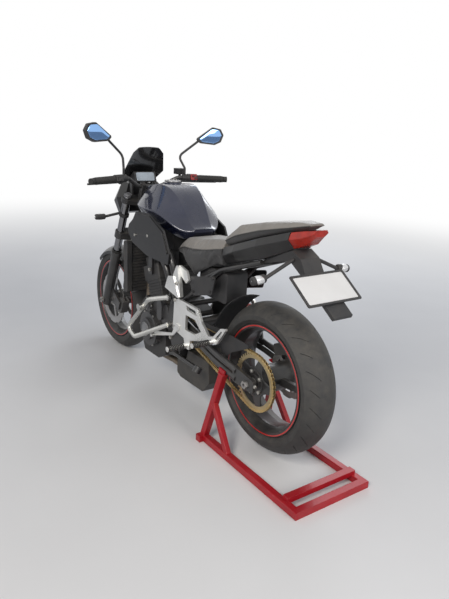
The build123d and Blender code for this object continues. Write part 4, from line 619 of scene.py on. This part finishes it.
# Brake discs and calipers: petal discs of ground stainless steel on riveted buttons, and
# cast calipers painted dark grey, bolted to the fork legs and to the rear bracket
disc_steel = mix_finish("ground_steel", (0.42, 0.41, 0.4), 0.3, metallic=0.95, grain=900,
                        dust=0.15)
caliper_grey = mix_finish("caliper_grey", (0.06, 0.06, 0.062), 0.45, grain=500, depth=0.0001,
                          dust=0.3, wear=0.4)
spindle_steel = mix_finish("axle_steel", (0.35, 0.34, 0.33), 0.35, metallic=0.9, dust=0.25)
dress(disc_steel, "front_discs", "rear_disc")
dress(caliper_grey, "front_calipers", "rear_caliper")
dress(spindle_steel, "front_axle", "rear_axle")


def five_round(centre, y, s, radius, size):
    """Five screw places evenly round an axle, at a distance y along it."""
    spots = []
    for step in range(5):
        angle = 2 * math.pi * step / 5
        out = Vector((radius * math.cos(angle), y, radius * math.sin(angle)))
        spots.append((centre + out, (0, s, 0), size))
    return spots


socket_screws("front_disc_bolts", "front_wheel", [
    spot for s, _ in SIDES for spot in five_round(front_axle, s * 0.0692, s, 0.036, 0.0055)])
socket_screws("rear_disc_bolts", "rear_wheel", five_round(rear_axle, -0.0842, -1, 0.038, 0.0055))
hex_nuts("rear_disc_buttons", "rear_wheel", five_round(rear_axle, -0.0842, -1, 0.076, 0.006))
hex_nuts("front_disc_buttons", "front_wheel", [
    spot for s, _ in SIDES for spot in five_round(front_axle, s * 0.0692, s, 0.108, 0.006)])

# Rear sprocket: a hardened toothed ring with a gold wash on five black arms, bolted by five
# nuts to the black cast carrier on the hub
sprocket_gold = mix_finish("sprocket_gold", (0.44, 0.35, 0.2), 0.36, metallic=0.85, grain=900,
                           dust=0.2, shade=0.2)


def toothed(teeth, low, high):
    """Blunt teeth between two radii, as points."""
    points = []
    for tooth in range(teeth):
        for share, radius in ((-0.32, low), (-0.12, high), (0.12, high), (0.32, low)):
            angle = 2 * math.pi * (tooth + share) / teeth
            points.append((radius * math.cos(angle), radius * math.sin(angle)))
    return points


def cut_plate(name, body, material, outline, place, across, thickness, up=UP, rim=0.0016,
              crown=0.0006, stands_for=()):
    """A piece cut to an outline, its edge rolled and its middle raised a little."""
    sheet = flat_loop(outline, "NGON")
    pick(sheet, lambda centre, normal: True)
    draw_out(z=thickness)
    inset(rim)
    lift(crown)
    inset(rim)
    lift(crown * 0.4)
    face_out()
    sheet.data.transform(laid(place, across, up))
    return settle(sheet, name, body, material, stands_for=stands_for)


def beside_hub(y):
    return rear_axle + Vector((0, y, 0))


drive_y = 0.098
for_sprocket = ("rear_sprocket",)
flat_band("sprocket_ring", "rear_wheel", sprocket_gold,
          toothed(46, 0.1108, 0.1218), 0.0985, beside_hub(drive_y), BACK, 0.007,
          stands_for=for_sprocket)
arms = []
for arm in range(5):
    for length, spread in ((0.064, -22), (0.1, -9), (0.1, 9), (0.064, 22)):
        angle = math.radians(72 * arm + spread)
        arms.append((length * math.cos(angle), length * math.sin(angle)))
cut_plate("sprocket_arms", "rear_wheel", wheel_paint, arms, beside_hub(0.0952),
          BACK, 0.0045, stands_for=for_sprocket)
cut_plate("sprocket_carrier", "rear_wheel", wheel_paint, ring(0.058, 60),
          beside_hub(0.0662), BACK, 0.0335, rim=0.002, stands_for=for_sprocket)
turned_cap("carrier_face", "rear_wheel", wheel_paint, beside_hub(0.0995), LEFT,
           0.054, 0.005)
hex_nuts("sprocket_nuts", "rear_wheel", five_round(rear_axle, 0.1025, 1, 0.046, 0.0085))

# Chain: a riveted roller chain with gold side plates, oiled and dusty, run round both
# sprockets. One link of each kind is modelled and copied along the loop. The links beside
# the teeth are modelled without their rollers, which stand hidden there.
chain_gold = mix_finish("chain_gold", (0.5, 0.37, 0.17), 0.36, metallic=0.9, grain=600, dust=0.25,
                        shade=0.25)
link_pitch, link_count = 0.015875, 110
front_centre = Vector((-0.035, 0, 0.431))
run = rear_axle - front_centre
along = run.normalized()
across = Vector((along.z, 0, -along.x))
front_reach, rear_reach = 0.0382, 0.1163
lap = math.asin((rear_reach - front_reach) / run.length)
straight = math.sqrt(run.length ** 2 - (rear_reach - front_reach) ** 2)
rear_arc, front_arc = math.pi + 2 * lap, math.pi - 2 * lap
loop_length = 2 * straight + rear_reach * rear_arc + front_reach * front_arc


def spoke(angle):
    """The way out from a sprocket's middle, an angle on from its upper tangent point."""
    return along * -math.sin(lap - angle) + across * math.cos(lap - angle)


def on_loop(travel):
    """The point that far along the loop, from where the chain leaves the front sprocket."""
    travel %= loop_length
    if travel < straight:
        return front_centre + spoke(0) * front_reach + (spoke(math.pi / 2)) * travel
    travel -= straight
    if travel < rear_reach * rear_arc:
        return rear_axle + spoke(travel / rear_reach) * rear_reach
    travel -= rear_reach * rear_arc
    if travel < straight:
        return rear_axle + spoke(rear_arc) * rear_reach + spoke(rear_arc + math.pi / 2) * travel
    travel -= straight
    return front_centre + spoke(rear_arc + travel / front_reach) * front_reach


def chain_link(plate_low, plate_high, pins):
    """Two waisted side plates with their rollers or rivet heads, a pitch apart along X."""
    pieces = []
    for s in (1, -1):
        clear_selection()
        bpy.ops.mesh.primitive_circle_add(vertices=12, radius=0.0068, fill_type="NGON",
                                          rotation=(math.pi / 2, 0, 0))
        plate = bpy.context.object
        bpy.ops.object.transform_apply(rotation=True)
        for corner in plate.data.vertices:
            end = 1 if corner.co.x > 0.0001 else -1 if corner.co.x < -0.0001 else 0
            corner.co.x += end * link_pitch / 2
            corner.co.z *= 0.72 if end == 0 else 1
            corner.co.y = s * plate_low
        pick(plate, lambda centre, normal: True)
        draw_out(y=s * (plate_high - plate_low))
        face_out()
        pieces.append(plate)
        for radius, middle, length in pins:
            clear_selection()
            bpy.ops.mesh.primitive_cylinder_add(
                vertices=8, radius=radius, depth=length, rotation=(math.pi / 2, 0, 0),
                location=(s * link_pitch / 2, middle, 0))
            bpy.ops.object.transform_apply(location=True, rotation=True)
            pieces.append(bpy.context.object)
    take(*pieces)
    bpy.ops.object.join()
    return bpy.context.object


joints = [on_loop(loop_length * step / link_count) for step in range(link_count)]
link_spots = []
for step in range(link_count):
    low, high = joints[step], joints[(step + 1) % link_count]
    way = (high - low).normalized()
    axes = Matrix((way, Vector(LEFT), way.cross(Vector(LEFT)))).transposed().to_4x4()
    link_spots.append(Matrix.Translation((low + high) / 2 + Vector((0, drive_y, 0))) @ axes)
front_clear, rear_clear = 0.022, 0.038
upper_run = (front_clear, straight - rear_clear)
lower_run = (straight + rear_reach * rear_arc + rear_clear,
             loop_length - front_reach * front_arc - front_clear)
rolling, meshing = [], []
for step in range(1, link_count, 2):
    low, high = loop_length * step / link_count, loop_length * (step + 1) / link_count
    free = any(first < low and high < last for first, last in (upper_run, lower_run))
    (rolling if free else meshing).append(link_spots[step])
rivets = ((0.0024, 0.0064, 0.0006), (0.0024, -0.0064, 0.0006))
for name, link, spots in (
        ("outer_links", chain_link(0.0051, 0.0062, rivets), link_spots[0::2]),
        ("inner_links", chain_link(0.0039, 0.005, ((0.0048, 0, 0.0078),)), rolling),
        ("meshing_links", chain_link(0.0039, 0.005, ()), meshing)):
    settle(copy_and_join(link, spots), name, "chassis", chain_gold, smooth=30,
           stands_for=("chain",))

# Shock absorber with its spring: a gas damper in black, its coil spring painted red, bolted
# between the frame and the swingarm
spring_red = mix_finish("spring_red", (0.42, 0.014, 0.01), 0.35, coat=0.4, dust=0.3)
dress(caliper_grey, "shock_absorber")
shock_low, shock_high = Vector((-0.385, -0.103, 0.492)), Vector((-0.160, -0.057, 0.688))
coil_start, coil_end = shock_low.lerp(shock_high, 0.14), shock_low.lerp(shock_high, 0.80)
coil_turns, wire_radius, coil_radius = 8, 0.0045, 0.0232
clear_selection()
bpy.ops.mesh.primitive_circle_add(vertices=12, radius=wire_radius, location=(coil_radius, 0, 0),
                                  rotation=(math.pi / 2, 0, 0))
coil = bpy.context.object
bpy.ops.object.transform_apply(location=True, rotation=True)
apply_modifier(coil, "SCREW", axis="Z", iterations=coil_turns, steps=28, render_steps=28,
               screw_offset=(coil_end - coil_start).length / coil_turns)
edit_all()
bpy.ops.mesh.remove_doubles(threshold=0.00002)
bpy.ops.mesh.select_all(action="DESELECT")
bpy.ops.mesh.select_mode(type="EDGE")
bpy.ops.mesh.select_non_manifold()
bpy.ops.mesh.fill_holes(sides=0)
face_out()
coil.data.transform(aimed(coil_start, coil_end - coil_start))
settle(coil, "spring_coil", "chassis", spring_red, smooth=60,
       stands_for=("shock_spring",))
for name, share, way in (("spring_seat_low", 0.125, 1), ("spring_seat_high", 0.815, -1)):
    turned_cap(name, "chassis", caliper_grey, shock_low.lerp(shock_high, share),
               (shock_high - shock_low) * way, 0.028, 0.006)

# Tank: pressed steel, painted dark metallic with fine metal flake under clear lacquer; its deep
# blue tint is a painted reflection of the sky. Beside it are the gloss black moulded covers.
# The filler cap is turned aluminium.
tank_paint_and_sky_tint = mix_finish("tank_paint_and_sky_tint", (0.008, 0.012, 0.036), 0.26, metallic=0.3, coat=0.7,
                        grain=2400, depth=0.00001, dust=0.05, shade=0.3, blotch=3)
gloss_black = mix_finish("gloss_black", (0.011, 0.011, 0.012), 0.33, coat=0.2, grain=1800,
                         depth=0.00001, dust=0.05, specular=0.4)
dress(tank_paint_and_sky_tint, "tank")
dress(gloss_black, "tank_covers", "front_fender", "tail_cowl")
filler_x = 0.195
turned_cap("filler_lid", "chassis", turned_grey, (filler_x, 0, 1.0415), UP,
           0.040, 0.006)
socket_screws("filler_screws", "chassis", [
    ((filler_x + 0.034 * math.cos(math.radians(60 * i)), 0.034 * math.sin(math.radians(60 * i)),
      1.0455), UP, 0.0036) for i in range(6)])
socket_screws("cover_bolts", "chassis", on_both_sides(
    (0.255, 0.1713, 0.78, 0.007), (0.12, 0.1713, 0.80, 0.007)))

# Seats: moulded foam on a pan, covered in textured vinyl, warm grey on top and darker at the
# sides, with a dark piping sewn in where the two meet. They clip to the frame.
seat_vinyl = bpy.data.materials.new("seat_vinyl")
seat_vinyl.use_nodes = True
tree = seat_vinyl.node_tree
skin = tree.nodes["Principled BSDF"]
set_inputs(skin, {"Sheen Weight": 0.15})
spot = grow(tree, "TexCoord")
panel = grow(tree, "Attribute", attribute_name="top_panel")
cloud = grow(tree, "TexNoise", {"Scale": 14, "Detail": 5})
worn = grow_ramp(tree, (0.16, 0.15, 0.135), (0.27, 0.25, 0.225))
both = grow(tree, "Mix", {"A": (0.035, 0.035, 0.036, 1)}, data_type="RGBA")
gloss = grow(tree, "MapRange", {"To Min": 0.42, "To Max": 0.6})
pores = grow(tree, "TexVoronoi", {"Scale": 420})
bump = grow(tree, "Bump", {"Distance": 0.0003})
wire(tree, (spot, "Object", cloud, "Vector"), (cloud, "Fac", worn, "Fac"),
     (panel, "Fac", both, "Factor"), (worn, "Color", both, "B"),
     (both, "Result", skin, "Base Color"), (cloud, "Fac", gloss, "Value"),
     (gloss, 0, skin, "Roughness"), (spot, "Object", pores, "Vector"),
     (pores, "Distance", bump, "Height"), (bump, 0, skin, "Normal"))
piping_black = mix_finish("piping_black", (0.03, 0.03, 0.03), 0.5, grain=900, dust=0.15)


def padded_seat(name, source, cap, edge):
    """A foam seat: the pan's solid drawn in a little, blown up as cloth and held to a cap,
    with a piping tube laid on it along each edge line."""
    pad = bpy.data.objects.new(name, node[source].data.copy())
    scene.collection.objects.link(pad)
    take(pad)
    edit_all()
    bpy.ops.mesh.remove_doubles(threshold=0.0001)
    face_out()
    apply_modifier(pad, "REMESH", mode="VOXEL", voxel_size=0.006)
    apply_modifier(pad, "DISPLACE", strength=-0.0035, mid_level=0)
    apply_modifier(pad, "SMOOTH", iterations=6)
    start = [corner.co.copy() for corner in pad.data.vertices]
    blown = pad.modifiers.new("blown", "CLOTH")
    blown.settings.use_pressure = True
    blown.settings.uniform_pressure_force = 4
    blown.settings.effector_weights.gravity = 0
    for step in range(1, 21):
        scene.frame_set(step)
    bpy.ops.object.modifier_apply(modifier="blown")
    for corner, home in zip(pad.data.vertices, start):
        moved = corner.co - home
        if moved.length > cap:
            corner.co = home + moved.normalized() * cap
    scene.frame_set(1)
    apply_modifier(pad, "SUBSURF", levels=1, render_levels=1)
    above = pad.data.attributes.new("top_panel", "FLOAT", "POINT")
    for corner, value in zip(pad.data.vertices, above.data):
        line_z = edge[0][2] if corner.co.x > edge[0][0] else edge[-1][2]
        for (x0, _, z0), (x1, _, z1) in zip(edge, edge[1:]):
            if x1 <= corner.co.x <= x0:
                line_z = z0 + (z1 - z0) * (corner.co.x - x0) / (x1 - x0)
        value.value = min(1.0, max(0.0, (corner.co.z - line_z) / 0.003))
    settle(pad, name, "chassis", seat_vinyl, smooth=60, stands_for=(source,))
    for s, hand in SIDES:
        line = bpy.data.curves.new(f"{name}_piping_{hand}", "CURVE")
        line.dimensions = "3D"
        line.bevel_depth = 0.0022
        line.bevel_resolution = 2
        line.resolution_u = 6
        line.use_fill_caps = True
        spline = line.splines.new("NURBS")
        spline.points.add(len(edge) - 1)
        for point, (x, y, z) in zip(spline.points, edge):
            near = pad.closest_point_on_mesh(Vector((x, s * y, z)))
            point.co = (*near[1], 1)
        spline.order_u = 3
        spline.use_endpoint_u = True
        tube = bpy.data.objects.new(line.name, line)
        scene.collection.objects.link(tube)
        take(tube)
        bpy.ops.object.convert(target="MESH")
        settle(bpy.context.object, f"{name}_piping_{hand}", "chassis", piping_black)


padded_seat("rider_pad", "rider_seat", 0.006, (
    (-0.025, 0.098, 0.764), (-0.065, 0.108, 0.776), (-0.105, 0.118, 0.790), (-0.155, 0.127, 0.795),
    (-0.205, 0.134, 0.801), (-0.255, 0.130, 0.808), (-0.301, 0.126, 0.816), (-0.355, 0.116, 0.829),
    (-0.389, 0.109, 0.836)))
padded_seat("pillion_pad", "pillion_seat", 0.005, (
    (-0.402, 0.107, 0.873), (-0.440, 0.109, 0.892), (-0.475, 0.110, 0.909), (-0.540, 0.105, 0.930),
    (-0.605, 0.100, 0.951), (-0.680, 0.086, 0.969), (-0.755, 0.072, 0.985), (-0.800, 0.052, 0.995),
    (-0.830, 0.036, 1.001)))

# Tail: the red lamp moulded in clear acrylic behind the seat, the white pressed plate in its
# dark holder on the fender, and two clear signals on short rubber stalks
lamp_red = mix_finish("lamp_red", (0.32, 0.012, 0.004), 0.24, coat=0.15, shade=0.25, blotch=30,
                      grain=160, depth=0.0006, dust=0.03, stretch=(0.2, 1, 3))
plate_white = mix_finish("plate_white", (0.74, 0.74, 0.73), 0.4, shade=0.03, dust=0.06)
clear_lens = mix_finish("clear_lens", (0.66, 0.67, 0.68), 0.12, metallic=0.35, coat=1.0, grain=140,
                        depth=0.0006, dust=0.05, stretch=(0.2, 4, 0.2))
dress(lamp_red, "tail_lamp")
dress(plate_white, "number_plate")
dress(moulded, "rear_signals", "front_signals")
plate_edge = ((0.97, 1), (-0.97, 1), (-1, 0.94), (-1, -0.94), (-0.97, -1), (0.97, -1), (1, -0.94),
              (1, 0.94))
flat_band("plate_holder", "chassis", moulded,
          [(x * 0.129, y * 0.069) for x, y in plate_edge], (0.925, 0.87), (-0.8953, 0, 0.7945),
          RIGHT, 0.0042, up=(0.814, 0, 0.581))


def signal_lens(name, body, place, face):
    """A rounded lens over a signal's pod, flattened where the pod carries it."""
    clear_selection()
    bpy.ops.mesh.primitive_uv_sphere_add(segments=28, ring_count=18, radius=1)
    lens = bpy.context.object
    pick(lens, lambda centre, normal: centre.x * face < -0.1)
    scale_by(x=0.35)
    pick(lens, lambda centre, normal: abs(centre.y) > 0.75)
    scale_by(y=0.9)
    set_mode("OBJECT")
    half_sizes = Matrix.Diagonal((0.0185, 0.034, 0.0168, 1))
    lens.data.transform(Matrix.Translation(Vector(place)) @ half_sizes)
    return settle(lens, name, body, clear_lens, smooth=60)


for s, hand in SIDES:
    signal_lens(f"rear_signal_lens_{hand}", "chassis", (-0.770, s * 0.206, 0.815), -1)
    signal_lens(f"front_signal_lens_{hand}", "steering", (0.560, s * 0.224, 0.823), 1)


def rounded(half_width, half_height, corner):
    """A rectangle with rounded corners, as points."""
    points = []
    for cx, cy, first in ((1, 1, 0), (-1, 1, 90), (-1, -1, 180), (1, -1, 270)):
        for i in range(5):
            angle = math.radians(first + 90 * i / 4)
            points.append((cx * (half_width - corner) + corner * math.cos(angle),
                           cy * (half_height - corner) + corner * math.sin(angle)))
    return points


# Battery tray under the seat with the splash guard below it: black moulded plastic, the
# guard curved round the tyre
cut_plate("battery_tray", "chassis", moulded, rounded(0.105, 0.066, 0.014),
          (-0.312, -0.022, 0.668), BACK, 0.104, rim=0.006, crown=0.002)
clear_selection()
bpy.ops.mesh.primitive_grid_add(x_subdivisions=30, y_subdivisions=8, size=2)
guard = bpy.context.object
for corner in guard.data.vertices:
    swing, width = math.radians(35 + 24 * corner.co.x), corner.co.y
    reach = 0.350 - 0.010 * width ** 2
    corner.co = rear_axle + Vector((reach * math.cos(swing), 0.0245 + 0.0625 * width,
                                    reach * math.sin(swing)))
apply_modifier(guard, "SOLIDIFY", thickness=0.003)
edit_all()
face_out()
settle(guard, "splash_guard", "chassis", moulded)

# Brackets and covers: cast and forged aluminium, polished bright, bolted to the pivot
# plates, with the rubber-clad pegs, the pedals and the bent steel guards
bright = mix_finish("bright_aluminium", (0.82, 0.82, 0.8), 0.27, metallic=0.8, grain=900,
                    dust=0.12, shade=0.08)
guard_steel = mix_finish("guard_steel", (0.55, 0.55, 0.53), 0.22, metallic=0.95, dust=0.15)
peg_rubber = mix_finish("peg_rubber", (0.022, 0.022, 0.022), 0.66, grain=500, depth=0.0001,
                        dust=0.08, specular=0.35)
dress(bright, "pivot_covers", "footrest_brackets", "foot_controls")
dress(guard_steel, "crash_bars")


def ribbed_sleeve(name, body, start, end, radius, height, step):
    """A rubber sleeve of rounded ribs, one rib modelled and copied along a rod."""
    clear_selection()
    bpy.ops.mesh.primitive_cylinder_add(vertices=24, radius=radius, depth=step * 0.96)
    rib = bpy.context.object
    pick(rib, lambda centre, normal: abs(normal.z) < 0.5)
    bpy.ops.mesh.subdivide(number_cuts=1)
    set_mode("OBJECT")
    for corner in rib.data.vertices:
        if abs(corner.co.z) < step * 0.1:
            corner.co.x *= 1 + height / radius
            corner.co.y *= 1 + height / radius
    apply_modifier(rib, "BEVEL", width=height * 0.4, segments=1)
    start, end = Vector(start), Vector(end)
    count = int((end - start).length / step)
    spots = [aimed(start + (end - start) * ((i + 0.5) / count), end - start)
             for i in range(count)]
    return settle(copy_and_join(rib, spots), name, body, peg_rubber, smooth=50)


for s, hand in SIDES:
    for seat, x, z, radius in (
            ("rider", -0.235, 0.368, 0.0128), ("pillion", -0.435, 0.457, 0.0118)):
        ribbed_sleeve(f"{seat}_peg_rubber_{hand}", "chassis", (x, s * 0.176, z),
                      (x, s * 0.256, z), radius, 0.0016, 0.0075)
socket_screws("bracket_screws", "chassis", on_both_sides(
    (-0.150, 0.1713, 0.560, 0.008), (-0.160, 0.1713, 0.640, 0.008)))

# Fork: chromed tubes sliding in black lower legs, with rubber dust seals, held by two cast
# clamps with plugs in their tops
slider_black = mix_finish("slider_black", (0.024, 0.024, 0.025), 0.34, coat=0.3, dust=0.2,
                          wear=0.3)
# Painted shade: the chrome is darkened to a dull grey for the shadow the tubes stand in between
# the clamps.
chrome_painted_shade = mix_finish("hard_chrome_painted_shade", (0.26, 0.26, 0.27), 0.14, metallic=1.0, grain=600,
                    depth=0.00001, dust=0.08)
dress(slider_black, "fork_sliders", "triple_clamps")
dress(chrome_painted_shade, "fork_tubes")
leg = Vector((-0.394744, 0, 0.918791))
for s, hand in SIDES:
    foot = Vector((0.750, s * 0.106, 0.300))
    turned_cap(f"dust_seal_{hand}", "steering", peg_rubber, foot + leg * 0.3452, leg,
               0.0262, 0.012)
    turned_cap(f"fork_plug_{hand}", "steering", turned_grey, foot + leg * 0.7002,
               leg, 0.0185, 0.007)

# Handlebar: a bent steel tube in satin black, with ribbed rubber grips, switch housings with
# their buttons, cast perches and levers, and a mirror on a bent stem each side
bar_black = mix_finish("bar_black", (0.02, 0.02, 0.021), 0.38, coat=0.2, dust=0.1)
control_black = mix_finish("control_black", (0.028, 0.028, 0.029), 0.44, grain=900, depth=0.00006,
                           dust=0.06, wear=0.2, specular=0.35)
# Painted reflection: the mirror glass is tinted sky blue for the sky it reflects.
mirror_painted_sky = mix_finish("mirror_painted_sky", (0.3, 0.52, 0.9), 0.03, metallic=1.0, shade=0.1,
                          blotch=3, grain=200, depth=0.000002, dust=0.04)
switch_red = mix_finish("switch_red", (0.28, 0.012, 0.012), 0.4, dust=0.08)
dress(bar_black, "handlebar")
dress(control_black, "controls", "mirrors")
dress(peg_rubber, "grips")

glass_outline = [(u * 0.86 / 1000, v * 0.86 / 1000) for u, v in (
    (72, 8), (56, 35), (46, 40), (12, 43), (2, 39), (-70, -15), (-72, -21), (-52, -35), (22, -41),
    (56, -27))]
toe_in = math.radians(12)
for s, hand in SIDES:
    cut_plate(f"mirror_painted_sky_{hand}", "steering", mirror_painted_sky,
              [(-s * u, v) for u, v in glass_outline], (0.352, s * 0.313, 1.255),
              (s * math.sin(toe_in), -math.cos(toe_in), 0), 0.0008)
switch_up = (0.25, 0, 0.968)
for s, hand in SIDES:
    ribbed_sleeve(f"grip_ribs_{hand}", "steering", (0.3478, s * 0.244, 1.0389),
                  (0.2993, s * 0.356, 1.0374), 0.0166, 0.0014, 0.0062)
    cut_plate(f"switch_block_{hand}", "steering",
              switch_red if s < 0 else control_black, rounded(0.019, 0.015, 0.004),
              (0.3455, s * 0.211, 1.0452), RIGHT, 0.007, up=switch_up)
    for level, rising, slide in (("high", 0.006, 0.007), ("low", -0.006, -0.006)):
        cut_plate(f"switch_button_{hand}_{level}", "steering",
                  control_black if s < 0 else moulded, rounded(0.0055, 0.0038, 0.0015),
                  (0.3378, s * 0.211 + slide, 1.0452 + rising), RIGHT, 0.004, up=switch_up,
                  rim=0.0008)

# Headlamp, meter and flyscreen: a black moulded shell with a clear bowl, an electronic meter
# behind glass, and a smoked acrylic screen on the lamp brackets
smoked = mix_finish("smoked_acrylic", (0.01, 0.01, 0.011), 0.1, coat=1.0, grain=300,
                    depth=0.000005, dust=0.06)
meter_glass = mix_finish("meter_glass", (0.34, 0.4, 0.46), 0.1, coat=1.0, shade=0.2, blotch=20,
                         dust=0.05)
dress(gloss_black, "headlamp")
dress(smoked, "flyscreen")
cut_plate("headlamp_lens", "steering", clear_lens, ring(0.0515, 40, 0.0297),
          (0.6905, 0, 0.886), LEFT, 0.004, rim=0.004, crown=0.0015)
cut_plate("meter_glass", "steering", meter_glass, rounded(0.052, 0.0225, 0.008),
          (0.4848, 0, 1.0362), RIGHT, 0.0015, up=(0.394, 0, 0.919))

# Paddock stand: square and round steel tube, welded and sprayed gloss red, with rubber
# saddles under the swingarm, scuffed where it is dragged about
stand_paint = mix_finish("stand_paint", (0.36, 0.004, 0.012), 0.36, coat=0.12, wear=0.35,
                         bare=(0.2, 0.16, 0.14), dust=0.06, shade=0.1, specular=0.35)
dress(stand_paint, "paddock_stand")
